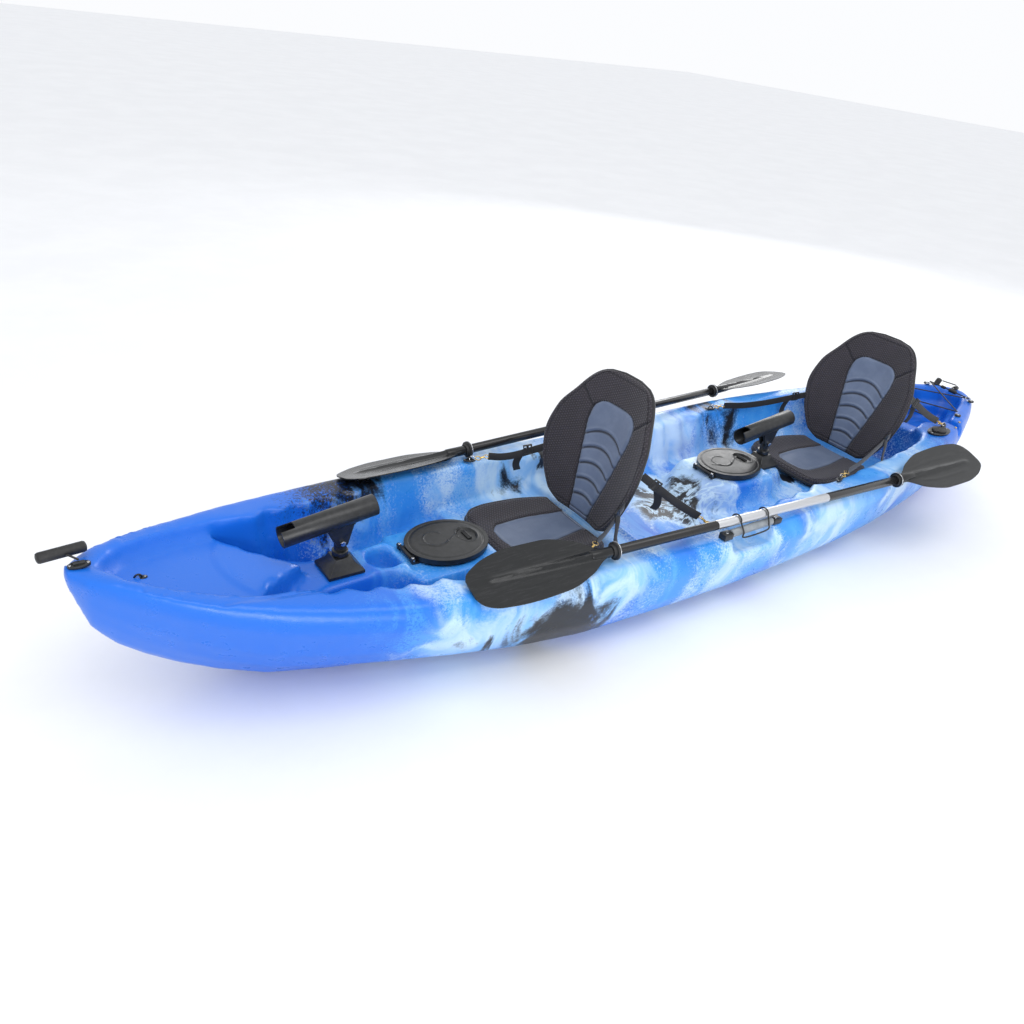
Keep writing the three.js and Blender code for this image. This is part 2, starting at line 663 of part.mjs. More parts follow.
// -------------------------------------------------------------------------------- flush rod holders
function flushHolder(prefix, s) {
  const [top, bottom] = flushAxis(s);
  const rim = sheer(STATION.flushHolder) + 2;
  const lean = THREE.MathUtils.degToRad(FLUSH.lean);
  const centre = [top[0] - Math.tan(lean) * (top[2] - rim), top[1]];
  const down = (deep) => top.map((v, i) => v + ((bottom[i] - v) * deep) / (FLUSH.depth + 34));
  const flange = drum(FLUSH.flange, rim, rim + 5, 0.55, 32).translate([centre[0], centre[1], 0]);
  const level = box(300, 300, 100, centre[0], centre[1], rim + 5 + 50);
  const body = cut(
    joined(rod(FLUSH.radius, down(FLUSH.depth + 20), top, 14), flange),
    level,
    rod(FLUSH.radius - FLUSH.wall, down(FLUSH.depth + 20 - FLUSH.wall), down(-20), 14),
  );
  add(prefix + "_flush_holder", body, blackPlastic);
  const lift = rim + 5 + CLEARANCE;
  const cap = joined(
    drum(FLUSH.cap, lift, lift + 6, 1, 24).translate([centre[0] + 2, centre[1], 0]),
    box(14, 16, 6, centre[0] - FLUSH.cap - 2, centre[1], lift + 3),
    box(12, 14, 6, centre[0] + FLUSH.cap + 6, centre[1], lift + 3),
  );
  add(prefix + "_flush_cap", cap, rubber);
}
flushHolder("port", 1);
flushHolder("starboard", -1);

// -------------------------------------------------------------------------- scupper plugs, side grips
const gripLine = BEAM / 2 - 42; // how far out the side grips are
const plugTop = FLOOR.cockpit + CLEARANCE;
[["port", 1], ["starboard", -1]].forEach(([name, s]) => {
  const plug = joined(
    drum(SCUPPER - 1.3, FLOOR.cockpit - 26, plugTop + 2, 1, 16),
    drum(SCUPPER + 7, plugTop, plugTop + 4, 1, 20),
    box(5, 16, 12, 0, 0, plugTop + 8),
  ).translate([drainAt[0], s * drainAt[1], 0]);
  add(name + "_scupper_plug", plug, rubber);

  const [y, z] = [s * gripLine, sheer(0) + 14];
  const half = GRIP.length / 2;
  const grip = cut(
    rod(GRIP.radius, [-half, y, z], [half, y, z], 16),
    rod(GRIP.bore, [-half - 5, y, z], [half + 5, y, z], 12),
  );
  add(name + "_side_grip", grip, greyGrip);
  [["front", 1], ["rear", -1]].forEach(([end, e]) => {
    const seat = sheer(e * (half + 40)) + 1.5;
    const cap = joined(
      box(36, 27, z + 8 - seat, e * (half + 2 + 18), y, (z + 8 + seat) / 2),
      rod(GRIP.bore - RUNNING, [e * (half - 12), y, z], [e * (half + 10), y, z], 12),
    );
    add(name + "_grip_cap_" + end, cap, blackPlastic);
  });
});

// -------------------------------------------------------------------------------------------- toggles
// A bar handle on a short cord from a pad eye at each end of the hull. The bar starts at a point and runs
// along a direction, and the cord is tied at a share of its length.
function toggle(prefix, eye, from, direction, tied) {
  const base = drum(24, eye[2] + CLEARANCE, eye[2] + 7, 0.5, 20);
  const bail = rod(5, [-12, 0, eye[2] + 9], [12, 0, eye[2] + 9], 10);
  add(prefix + "_pad_eye", joined(base, bail).translate([eye[0], eye[1], 0]), blackPlastic);
  const start = new THREE.Vector3(...from);
  const run = new THREE.Vector3(...direction).setLength(TOGGLE.length);
  const end = start.clone().add(run);
  add(prefix + "_toggle_handle", rod(TOGGLE.radius, start.toArray(), end.toArray(), 14), rubber);
  const knot = new THREE.Vector3(eye[0], eye[1], eye[2] + 18);
  const reach = start.clone().lerp(end, tied).sub(knot);
  reach.setLength(reach.length() - TOGGLE.radius - TOGGLE.cord);
  const stop = knot.clone().add(reach);
  add(prefix + "_toggle_cord", rod(TOGGLE.cord, knot.toArray(), stop.toArray(), 8), shockCord);
}
{
  const x = STATION.bowEye;
  const rim = sheer(x);
  toggle("bow", [x, 0, rim + 1], [x - 26, -50, rim + 18], [98, 14, 2], 0.5);
  const y = -halfBeam(along(-0.977));
  const tall = sheer(-HALF);
  toggle("stern", [along(-0.985), -12, tall + 1], [along(-0.981), y - 6, tall + 22], [15, -20, -100], 0.06);
}

// ---------------------------------------------------------------------------------------------- seats
const pad = (() => {
  const outline = new THREE.Shape();
  const [l, w] = [SEAT.length, SEAT.width / 2];
  outline.moveTo(0, -w * 0.82);
  outline.bezierCurveTo(l * 0.3, -w * 1.02, l * 0.55, -w * 1.05, l * 0.82, -w * 0.98);
  outline.bezierCurveTo(l * 1.02, -w * 0.92, l * 1.04, -w * 0.45, l * 0.93, 0);
  outline.bezierCurveTo(l * 1.04, w * 0.45, l * 1.02, w * 0.92, l * 0.82, w * 0.98);
  outline.bezierCurveTo(l * 0.55, w * 1.05, l * 0.3, w * 1.02, 0, w * 0.82);
  const soft = 7;
  return new THREE.ExtrudeGeometry(outline, {
    depth: SEAT.thick - 2 * soft,
    bevelThickness: soft,
    bevelSize: soft,
    bevelOffset: -soft,
    bevelSegments: 2,
    curveSegments: 6,
  }).translate(0, 0, soft);
})();
const backHalfWidth = smooth([
  [0, 0.5], [0.06, 0.68], [0.3, 0.94], [0.46, 1], [0.62, 0.95], [0.78, 0.78], [0.9, 0.62], [0.97, 0.46],
  [1, 0.34],
]);
const wrap = 62; // how far the back's sides come forwards
const rake = THREE.MathUtils.degToRad(SEAT.recline);

// A point of a seat's back: up its height and across it from -1 to 1, and out from its middle surface.
function backPoint(up, across, out) {
  const y = (across * backHalfWidth(up) * SEAT.backWidth) / 2;
  const forward = wrap * (y / (SEAT.backWidth / 2)) ** 2 + out;
  const rise = up * SEAT.back;
  return [
    forward * Math.cos(rake) - rise * Math.sin(rake),
    y,
    rise * Math.cos(rake) + forward * Math.sin(rake),
  ];
}
const back = plate(
  (up, v, s) => {
    const across = 2 * v - 1;
    const full = 1 - 0.55 * across ** 6;
    return backPoint(up, across, (s * SEAT.padding * full) / 2);
  },
  11,
  8,
);

// A flat strap through points, its width upright.
function ribbon(points) {
  const half = [STRAP.width / 2, STRAP.thick / 2];
  const rings = points.map(([x, y, z], i) => {
    const a = points[Math.max(0, i - 1)];
    const b = points[Math.min(points.length - 1, i + 1)];
    const run = new THREE.Vector2(b[0] - a[0], b[1] - a[1]).normalize();
    const off = [-run.y * half[1], run.x * half[1]];
    return [[1, 1], [-1, 1], [-1, -1], [1, -1]].map(([o, u]) => [
      x + o * off[0],
      y + o * off[1],
      z + u * half[0],
    ]);
  });
  return solid(loft(rings, ([x, y, z]) => [y + 0.001 * x, z]));
}

// A seat on a floor, tied by straps to an eye ahead of its back and an eye behind it.
function seat(prefix, at, floor, frontEye, backEye, backGrip) {
  const low = floor + 2;
  const hinge = [at - 16, 0, low + SEAT.thick + 10];
  const group = new THREE.Group();
  group.position.set(at, 0, low);
  kayak.add(group);
  add(prefix + "_seat_base", pad, foamBlack, group);
  const backMesh = add(prefix + "_seat_back", back, foamBlack, group);
  backMesh.position.set(hinge[0] - at, 0, hinge[2] - low);
  const onBack = (up, across, out) => backPoint(up, across, out).map((v, i) => v + hinge[i]);
  const rimAt = (x) => sheer(x) + STRAP.width / 2 + 3;
  [["port", 1], ["starboard", -1]].forEach(([name, s]) => {
    const clear = STRAP.thick / 2 + SEAT.padding / 2 + 1;
    const tie = (eye, up, out) => {
      const end = onBack(up, s * 0.9, out);
      const start = [eye[0], s * eye[1], rimAt(eye[0])];
      const half = start.map((v, i) => (v + end[i]) / 2 - (i === 2 ? 8 : 0));
      return ribbon([start, half, end]);
    };
    add(prefix + "_seat_front_strap_" + name, tie(frontEye, 0.3, clear + 9), webbing);
    add(prefix + "_seat_back_strap_" + name, tie(backEye, backGrip, -clear - 3), webbing);
  });
}
const onRim = (x, outboard) => [x, innerHalf(x) + outboard];
seat("rear", STATION.rearSeat, FLOOR.cockpit, onRim(STATION.rearEye, 10), [STATION.wellEye, 214], 0.62);
seat("front", STATION.frontSeat, FLOOR.seat, onRim(STATION.frontEye, 8), onRim(STATION.backEye, 12), 0.5);

// -------------------------------------------------------------------------------------------- paddles
const bladeOuter = smooth([
  [0, 13], [0.05, 18], [0.2, 56], [0.42, 88], [0.7, 96], [0.88, 90], [0.96, 76], [1, 54],
]);
const bladeInner = smooth([
  [0, 13], [0.05, 18], [0.2, 62], [0.42, 88], [0.65, 86], [0.82, 70], [0.94, 44], [1, 18],
]);
const bladeScale = PADDLE.bladeWidth / 184;
const cupped = (share) => 9 * share * share;
const bladePlate = plate(
  (u, v, s) => {
    const y = mix(-bladeInner(u), bladeOuter(u), v) * bladeScale;
    return [u * PADDLE.blade, y, cupped(u) + (y / 60) ** 2 * 2 + s * 1.8];
  },
  9,
  4,
);
const blade = joined(
  solid(bladePlate),
  rod(PADDLE.shaft, [0, 0, 0], [0.2 * PADDLE.blade, 0, 0], 10, PADDLE.shaft * 0.72),
  rod(PADDLE.shaft * 0.72, [0.2 * PADDLE.blade - 1, 0, 0], [0.84 * PADDLE.blade, 0, cupped(0.84)], 8, 4),
);
const keeperReach = 40; // how far inboard of the shaft the keeper's ends are
function paddle(prefix, s, centre) {
  const group = new THREE.Group();
  const half = PADDLE.length / 2 - PADDLE.blade;
  const height = sheer(centre + half) + PADDLE.ring + 1.5;
  const y = BEAM / 2 - 50;
  const yaw = s * THREE.MathUtils.degToRad(-3.6);
  group.position.set(centre, s * y, height);
  group.rotation.z = yaw;
  kayak.add(group);
  const shaft = cut(
    rod(PADDLE.shaft, [-half, 0, 0], [half, 0, 0], 14),
    rod(PADDLE.shaft - PADDLE.wall, [-half - 5, 0, 0], [half + 5, 0, 0], 14),
  );
  add(prefix + "_paddle_shaft", shaft, aluminium, group);
  [["bow", 1], ["stern", -1]].forEach(([end, e]) => {
    const ringAt = e * (half - 16);
    const ring = cut(
      joined(
        rod(PADDLE.ring, [ringAt - 3, 0, 0], [ringAt + 3, 0, 0], 14),
        rod(PADDLE.shaft + 4, [ringAt - 12, 0, 0], [ringAt + 12, 0, 0], 14),
      ),
      rod(PADDLE.shaft + CLEARANCE, [ringAt - 20, 0, 0], [ringAt + 20, 0, 0], 14),
    );
    add(prefix + "_drip_ring_" + end, ring, rubber, group);
    const mesh = add(prefix + "_blade_" + end, blade, bladeBlack, group);
    // both blades slope the same way: the outboard edge is down, the hollow side is up
    const slope = THREE.MathUtils.degToRad(17);
    mesh.rotation.set(e * s * -slope, 0, e < 0 ? Math.PI : 0, "ZYX");
    mesh.position.x = e * (half + CLEARANCE);
  });

  // the shock cord that keeps the paddle on the rim: over the shaft, along outboard, and over it again
  const round = PADDLE.shaft + BUNGEE + 2.2;
  const deck = sheer(0) + BUNGEE + 1.5;
  const points = [];
  for (const x of [58, -58]) {
    const local = y + (x - centre) * Math.tan(yaw * s);
    const arc = [];
    for (let a = 200; a >= 0; a -= 25) {
      const angle = THREE.MathUtils.degToRad(a);
      arc.push([x, s * (local + round * Math.cos(angle)), height + round * Math.sin(angle)]);
    }
    const inboard = [x, s * (local - keeperReach), deck];
    const pastGrip = s * (gripLine + GRIP.radius + BUNGEE + 3.5);
    const run = [inboard, ...arc, [x, pastGrip, deck + 18], [x * 0.9, pastGrip + s * 3, deck - 2]];
    points.push(...(x > 0 ? run : run.reverse()));
  }
  add(prefix + "_paddle_keeper", cordAlong(points, BUNGEE, 64, 6), shockCord);
}
paddle("port", 1, -95);
paddle("starboard", -1, -35);

// ---------------------------------------------------------------------------- shock cord of the tank well
{
  const eyes = {
    stern: [STATION.sternEye, halfBeam(STATION.sternEye) - 32],
    button: [STATION.button, innerHalf(STATION.button) + 22],
    well: [STATION.wellEye, 206],
  };
  const hook = ([x, y], s, lift) => [x, s * y, sheer(x) + 10 + lift];
  const loop = [
    hook(eyes.stern, 1, 0), hook(eyes.button, -1, 0), hook(eyes.well, 1, 0),
    hook(eyes.well, -1, 6), hook(eyes.button, 1, 6), hook(eyes.stern, -1, 6),
  ];
  const runs = loop.map((p, i) => rod(BUNGEE, p, loop[(i + 1) % loop.length], 6));
  const bends = loop.map((p) => solid(new THREE.SphereGeometry(BUNGEE * 1.25, 6, 4).translate(...p)));
  add("stern_bungee", joined(...runs, ...bends), shockCord);
}

export default kayak;
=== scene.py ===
# A two-person sit-on-top fishing kayak: a marbled rotomoulded hull with padded seats, hatches, rod
# holders, carry handles, deck rigging and two paddles. Metres, +X to the bow, +Y to port, +Z up.
import math

import bmesh
import bpy
import numpy as np
from mathutils import Matrix, Vector


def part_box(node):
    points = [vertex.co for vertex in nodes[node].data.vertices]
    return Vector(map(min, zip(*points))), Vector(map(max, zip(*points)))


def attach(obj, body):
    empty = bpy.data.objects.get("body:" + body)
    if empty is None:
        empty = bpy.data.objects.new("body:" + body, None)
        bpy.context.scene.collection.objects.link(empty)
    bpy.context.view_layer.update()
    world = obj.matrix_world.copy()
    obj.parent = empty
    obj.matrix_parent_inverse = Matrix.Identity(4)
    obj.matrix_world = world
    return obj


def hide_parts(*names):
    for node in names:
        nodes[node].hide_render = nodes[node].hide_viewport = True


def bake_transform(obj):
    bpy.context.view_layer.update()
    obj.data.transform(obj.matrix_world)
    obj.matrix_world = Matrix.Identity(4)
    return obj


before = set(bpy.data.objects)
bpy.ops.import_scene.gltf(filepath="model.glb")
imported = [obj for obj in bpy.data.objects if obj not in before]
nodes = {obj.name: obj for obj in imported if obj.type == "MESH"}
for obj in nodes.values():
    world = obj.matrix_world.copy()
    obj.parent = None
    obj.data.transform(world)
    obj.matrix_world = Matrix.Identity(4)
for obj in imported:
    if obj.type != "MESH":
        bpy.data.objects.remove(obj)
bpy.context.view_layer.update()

# ---------------------------------------------------------------- camera, floor and soft studio light
# A wide lens close to the port bow, a large overhead panel and a weaker one on the camera's side, over
# a pale seamless floor.
scene = bpy.context.scene
scene.view_settings.view_transform = "Standard"


def linked(name, data):
    made = bpy.data.objects.new(name, data)
    scene.collection.objects.link(made)
    return made


lens_data = bpy.data.cameras.new("view")
lens_data.lens = 29.9
lens = linked("view", lens_data)
lens.location = (2.015, 1.728, 1.578)
lens.rotation_euler = [math.radians(a) for a in (59.36, -6.67, 145.42)]
scene.camera = lens

world = bpy.data.worlds.new("studio")
scene.world = world
world.use_nodes = True
world.node_tree.nodes["Background"].inputs["Color"].default_value = (0.97, 0.98, 1, 1)
world.node_tree.nodes["Background"].inputs["Strength"].default_value = 1.0


def panel(name, place, target, size, power):
    data = bpy.data.lights.new(name, "AREA")
    data.shape = "RECTANGLE"
    data.size, data.size_y = size
    data.energy = power
    lamp = linked(name, data)
    lamp.location = place
    lamp.rotation_euler = (Vector(target) - Vector(place)).to_track_quat("-Z", "Y").to_euler()


panel("overhead", (0.3, 1.5, 4.2), (0, 0, 0), (4.4, 2.2), 62)
panel("bow_side", (2.6, 5.2, 1.3), (0.2, 0, 0.25), (3.6, 1.6), 110)
panel("stern_side", (-4.0, -3.5, 2.0), (-0.5, 0, 0.2), (2.4, 1.4), 55)


def material(name, color, roughness, metallic=0.0):
    made = bpy.data.materials.new(name)
    made.use_nodes = True
    shader = made.node_tree.nodes["Principled BSDF"]
    shader.inputs["Base Color"].default_value = (*color, 1)
    shader.inputs["Roughness"].default_value = roughness
    shader.inputs["Metallic"].default_value = metallic
    return made, made.node_tree, shader


def math_node(tree, operation, a, b=None, c=None):
    made = tree.nodes.new("ShaderNodeMath")
    made.operation = operation
    for socket, value in zip(made.inputs, (a, b, c)):
        if value is None:
            continue
        if isinstance(value, (int, float)):
            socket.default_value = value
        else:
            tree.links.new(value, socket)
    return made.outputs[0]


def noise_node(tree, vector, scale, detail=4.0, roughness=0.5, distortion=0.0):
    made = tree.nodes.new("ShaderNodeTexNoise")
    made.inputs["Scale"].default_value = scale
    made.inputs["Detail"].default_value = detail
    made.inputs["Roughness"].default_value = roughness
    made.inputs["Distortion"].default_value = distortion
    tree.links.new(vector, made.inputs["Vector"])
    return made


def mapped(tree, value, low, high, to_low=0.0, to_high=1.0):
    made = tree.nodes.new("ShaderNodeMapRange")
    made.interpolation_type = "SMOOTHSTEP"
    tree.links.new(value, made.inputs["Value"])
    for socket, number in zip(
        ("From Min", "From Max", "To Min", "To Max"), (low, high, to_low, to_high)
    ):
        made.inputs[socket].default_value = number
    return made.outputs["Result"]


def mixed(tree, factor, a, b):
    made = tree.nodes.new("ShaderNodeMix")
    made.data_type = "RGBA"
    for socket, value in ((made.inputs[0], factor), (made.inputs[6], a), (made.inputs[7], b)):
        if isinstance(value, (int, float)):
            socket.default_value = value
        elif isinstance(value, tuple):
            socket.default_value = (*value, 1)
        else:
            tree.links.new(value, socket)
    return made.outputs[2]


# An effect used by every moulded or cast piece: a fine grain in the surface and a slow change of gloss.
def grain_group():
    group = bpy.data.node_groups.new("moulded_grain", "ShaderNodeTree")
    for name, value in (("Scale", 900.0), ("Depth", 0.0002), ("Roughness", 0.4), ("Variation", 0.08)):
        socket = group.interface.new_socket(name, in_out="INPUT", socket_type="NodeSocketFloat")
        socket.default_value = value
    group.interface.new_socket("Normal", in_out="OUTPUT", socket_type="NodeSocketVector")
    group.interface.new_socket("Roughness", in_out="OUTPUT", socket_type="NodeSocketFloat")
    given = group.nodes.new("NodeGroupInput")
    put = group.nodes.new("NodeGroupOutput")
    where = group.nodes.new("ShaderNodeTexCoord").outputs["Object"]
    fine = noise_node(group, where, 900.0, 2.0)
    group.links.new(given.outputs["Scale"], fine.inputs["Scale"])
    bump = group.nodes.new("ShaderNodeBump")
    bump.inputs["Strength"].default_value = 0.5
    group.links.new(given.outputs["Depth"], bump.inputs["Distance"])
    group.links.new(fine.outputs["Fac"], bump.inputs["Height"])
    slow = noise_node(group, where, 22.0, 5.0, 0.6)
    spread = math_node(group, "SUBTRACT", slow.outputs["Fac"], 0.5)
    change = math_node(group, "MULTIPLY", spread, given.outputs["Variation"])
    total = math_node(group, "ADD", change, given.outputs["Roughness"])
    group.links.new(bump.outputs["Normal"], put.inputs["Normal"])
    group.links.new(total, put.inputs["Roughness"])
    return group


moulded_grain = grain_group()


def grained(made, tree, shader, roughness, scale=900.0, depth=0.0002, variation=0.3):
    grain = tree.nodes.new("ShaderNodeGroup")
    grain.node_tree = moulded_grain
    for name, value in (
        ("Scale", scale), ("Depth", depth), ("Roughness", roughness), ("Variation", variation)
    ):
        grain.inputs[name].default_value = value
    tree.links.new(grain.outputs["Normal"], shader.inputs["Normal"])
    tree.links.new(grain.outputs["Roughness"], shader.inputs["Roughness"])
    return made


def two_tone(name, dark, light, roughness, scale=30.0, metallic=0.0, **grain):
    made, tree, shader = material(name, dark, roughness, metallic)
    where = tree.nodes.new("ShaderNodeTexCoord").outputs["Object"]
    cloud = noise_node(tree, where, scale, 6.0, 0.65)
    tree.links.new(
        mixed(tree, mapped(tree, cloud.outputs["Fac"], 0.35, 0.68), dark, light),
        shader.inputs["Base Color"]
    )
    return grained(made, tree, shader, roughness, **grain)


floor_paint = two_tone(
    "floor_paint", (0.86, 0.87, 0.89), (0.89, 0.9, 0.92), 0.8, scale=2.0, depth=0.0001
)
bpy.ops.object.select_all(action="DESELECT")
bpy.ops.mesh.primitive_plane_add(size=60, location=(0, 0, -0.001))
floor = bpy.context.object
floor.name = "floor"
floor.data.materials.append(floor_paint)

# ------------------------------------------------------------------------------------------- the hull
# One rotomoulded polyethylene shell. The pigments were dropped in unmixed, so the blue runs into sky
# blue, white and black with powdery edges. Its corners are as round as the mould makes them.
MOULD_ROUND = 0.0095
HATCH_OPENING = (0.1015, 0.0792)


def own_copy(node, name):
    made = linked(name, nodes[node].data.copy())
    made.data.materials.clear()
    return made


def only(piece):
    bpy.ops.object.select_all(action="DESELECT")
    piece.select_set(True)
    bpy.context.view_layer.objects.active = piece


def apply_all(piece):
    only(piece)
    for modifier in list(piece.modifiers):
        bpy.ops.object.modifier_apply(modifier=modifier.name)


hull = own_copy("hull", "moulded_hull")
body = bmesh.new()
body.from_mesh(hull.data)
bmesh.ops.remove_doubles(body, verts=body.verts, dist=1e-5)
hatch_centres = []
for end in ("rear", "front"):
    low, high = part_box(end + "_hatch_frame")
    hatch_centres.append((low.x + 0.122, low.z + 0.016))
walls = []
for face in body.faces:
    for centre, deck in hatch_centres:
        if all(
            abs(math.hypot((v.co.x - centre) / HATCH_OPENING[0], v.co.y / HATCH_OPENING[1]) - 1) < 0.03
            and abs(v.co.z - deck) < 0.03
            for v in face.verts
        ) and abs(face.normal.z) < 0.3:
            walls.append(face)
bmesh.ops.delete(body, geom=walls, context="FACES")
lowest = min(body.verts, key=lambda v: v.co.z)
outside, front = {lowest}, [lowest]
while front:
    vertex = front.pop()
    for edge in vertex.link_edges:
        other = edge.other_vert(vertex)
        if other not in outside:
            outside.add(other)
            front.append(other)
bmesh.ops.delete(body, geom=[v for v in body.verts if v not in outside], context="VERTS")
rims = [edge for edge in body.edges if edge.is_boundary]
grown = bmesh.ops.extrude_edge_only(body, edges=rims)
dropped = [v for v in grown["geom"] if isinstance(v, bmesh.types.BMVert)]
bmesh.ops.translate(body, verts=dropped, vec=(0, 0, -0.12))
bmesh.ops.holes_fill(body, edges=[edge for edge in body.edges if edge.is_boundary], sides=0)
bmesh.ops.recalc_face_normals(body, faces=body.faces)
body.to_mesh(hull.data)
body.free()

remesh = hull.modifiers.new("round", "REMESH")
remesh.mode = "VOXEL"
remesh.voxel_size = MOULD_ROUND
remesh.use_smooth_shade = True
relax = hull.modifiers.new("relax", "SMOOTH")
relax.factor = 0.5
relax.iterations = 8
apply_all(hull)


def step(value, low, high):
    share = np.clip((value - low) / (high - low), 0, 1)
    return share * share * (3 - 2 * share)


def groove(distance, half, soft):
    return 1 - step(np.abs(distance), half, half + soft)


count = len(hull.data.vertices)
points = np.zeros(count * 3)
hull.data.vertices.foreach_get("co", points)
points = points.reshape(-1, 3)
facing = np.zeros(count * 3)
hull.data.vertices.foreach_get("normal", facing)
facing = facing.reshape(-1, 3)
x, y, z = points[:, 0].copy(), points[:, 1].copy(), points[:, 2].copy()
upward = step(facing[:, 2], 0.75, 0.95)

# drain channels in the floor of the tank well
tank_floor = upward * step(-np.abs(z - 0.2), -0.008, -0.003)
for k in range(-3, 4):
    start = -1.70 + 0.045 * abs(k)
    channel = groove(y - k * 0.027, 0.003, 0.005) * step(x, start, start + 0.008) * (
        1 - step(x, -1.395, -1.387)
    )
    points[:, 2] -= 0.006 * tank_floor * channel
# the raised square round the cup holder
on_console = upward * (z > 0.225) * (z < 0.26)
square = (1 - step(np.maximum(np.abs(x - 1.072) - 0.058, np.abs(y) - 0.062), -0.003, 0.005))
points[:, 2] += 0.005 * on_console * square
# creases of the bow deck
bow_floor = upward * (x > 1.3) * (np.abs(y) < 0.2) * (z > 0.28) * (z < 0.41)
arc = np.hypot(x - 1.30, y + 0.02) - 0.215
points[:, 2] -= 0.005 * bow_floor * step(arc, -0.006, 0.006) * step(y, -0.22, -0.1)
# the pads of the rim's notches
for s in (1, -1):
    pad = (
        1 - step(np.maximum(np.abs(x + 1.448) - 0.062, np.abs(y - s * 0.226) - 0.024), -0.002, 0.004)
    )
    points[:, 2] -= 0.004 * upward * (z > 0.3) * pad
hull.data.vertices.foreach_set("co", points.reshape(-1))
hull.data.update()
hull.data.calc_loop_triangles()
thin = hull.modifiers.new("thin", "DECIMATE")
thin.ratio = min(1.0, 190000 / len(hull.data.loop_triangles))
apply_all(hull)
for face in hull.data.polygons:
    face.use_smooth = True

# The pigments: royal blue at both ends, and between them clouds of sky blue, pale blue and black.
ROYAL = (0.008, 0.142, 0.66)
DEEP = (0.005, 0.095, 0.46)
SKY = (0.030, 0.255, 0.76)
ICE = (0.52, 0.70, 0.88)
INK = (0.006, 0.008, 0.013)
marble, tree, shader = material("marbled_polyethylene", ROYAL, 0.3)
where = tree.nodes.new("ShaderNodeTexCoord").outputs["Object"]
apart = tree.nodes.new("ShaderNodeSeparateXYZ")
tree.links.new(where, apart.inputs[0])
# the runs are longer across the hull than along it
stretch = tree.nodes.new("ShaderNodeMapping")
stretch.inputs["Scale"].default_value = (1.5, 0.7, 0.8)
tree.links.new(where, stretch.inputs["Vector"])
drift = noise_node(tree, stretch.outputs[0], 2.3, 3.0, 0.5, 0.5)
powder = noise_node(tree, where, 150.0, 4.0, 0.8)
powder_swing = math_node(
    tree, "MULTIPLY", math_node(tree, "SUBTRACT", powder.outputs["Fac"], 0.5), 0.62
)


def blurred(value, low, high):
    return mapped(tree, math_node(tree, "ADD", value, powder_swing), low, high)


clouds = noise_node(tree, stretch.outputs[0], 3.1, 3.5, 0.52, 0.5)
tint = noise_node(tree, stretch.outputs[0], 7.0, 4.0, 0.55, 0.9)
swirls = noise_node(tree, where, 6.5, 6.0, 0.6, 2.2)
pale = blurred(clouds.outputs["Fac"], 0.47, 0.66)
sky = mapped(tree, drift.outputs["Fac"], 0.40, 0.56)
color = mixed(tree, sky, ROYAL, SKY)
color = mixed(
    tree, math_node(tree, "MULTIPLY", mapped(tree, tint.outputs["Fac"], 0.42, 0.7), 0.55), color,
    (0.10, 0.40, 0.84)
)
frost = mixed(tree, mapped(tree, tint.outputs["Fac"], 0.38, 0.62), ICE, (0.22, 0.47, 0.83))
color = mixed(tree, math_node(tree, "MULTIPLY", pale, 0.86), color, frost)
# pale clouds that lie at fixed places, each [place, radius]
CLOUDS = [
    ((1.16, -0.30, 0.25), 0.17), ((1.02, 0.34, 0.14), 0.15), ((0.86, 0.30, 0.20), 0.14),
    ((0.55, 0.38, 0.24), 0.12),
    ((-0.42, 0.40, 0.20), 0.17), ((-0.16, -0.10, 0.18), 0.14), ((0.42, -0.28, 0.20), 0.17),
    ((-0.30, -0.30, 0.22), 0.15),
    ((-0.86, 0.36, 0.26), 0.13),
]
wander = tree.nodes.new("ShaderNodeVectorMath")
wander.operation = "MULTIPLY_ADD"
tree.links.new(tint.outputs["Color"], wander.inputs[0])
wander.inputs[1].default_value = (0.34, 0.34, 0.34)
tree.links.new(where, wander.inputs[2])


def patch(place, radius, low, high):
    """How much a point is inside a ragged patch round a place."""
    reach = tree.nodes.new("ShaderNodeVectorMath")
    reach.operation = "DISTANCE"
    tree.links.new(wander.outputs[0], reach.inputs[0])
    reach.inputs[1].default_value = [v + 0.17 for v in place]
    return blurred(math_node(tree, "DIVIDE", reach.outputs["Value"], radius), low, high)


for place, radius in CLOUDS:
    color = mixed(
        tree, math_node(tree, "MULTIPLY", patch(place, radius, 1.25, 0.6), 0.85), color, frost
    )
# white swirls round the black drop on the rear pedestal
swirl_zone = patch((-0.10, 0.0, 0.17), 0.22, 1.1, 0.8)
streak = math_node(tree, "ABSOLUTE", math_node(tree, "SUBTRACT", swirls.outputs["Fac"], 0.5))
swirl_share = math_node(tree, "MULTIPLY", mapped(tree, streak, 0.05, 0.0), swirl_zone)
color = mixed(tree, math_node(tree, "MULTIPLY", swirl_zone, 0.6), color, ICE)

# black drops, each [place, radius]
INK_DROPS = [
    ((0.72, 0.40, 0.10), 0.16), ((-0.60, -0.42, 0.15), 0.17), ((0.48, -0.42, 0.12), 0.13),
    ((-1.27, -0.24, 0.33), 0.10), ((-0.05, 0.02, 0.17), 0.13), ((1.12, -0.33, 0.32), 0.16),
    ((1.28, -0.28, 0.33), 0.09), ((1.20, -0.15, 0.18), 0.08), ((0.30, -0.30, 0.27), 0.06),
    ((0.95, 0.26, 0.15), 0.07), ((-0.62, 0.02, 0.16), 0.05),
]
for place, radius in INK_DROPS:
    color = mixed(tree, patch(place, radius, 1.18, 0.72), color, INK)
color = mixed(tree, swirl_share, color, ICE)
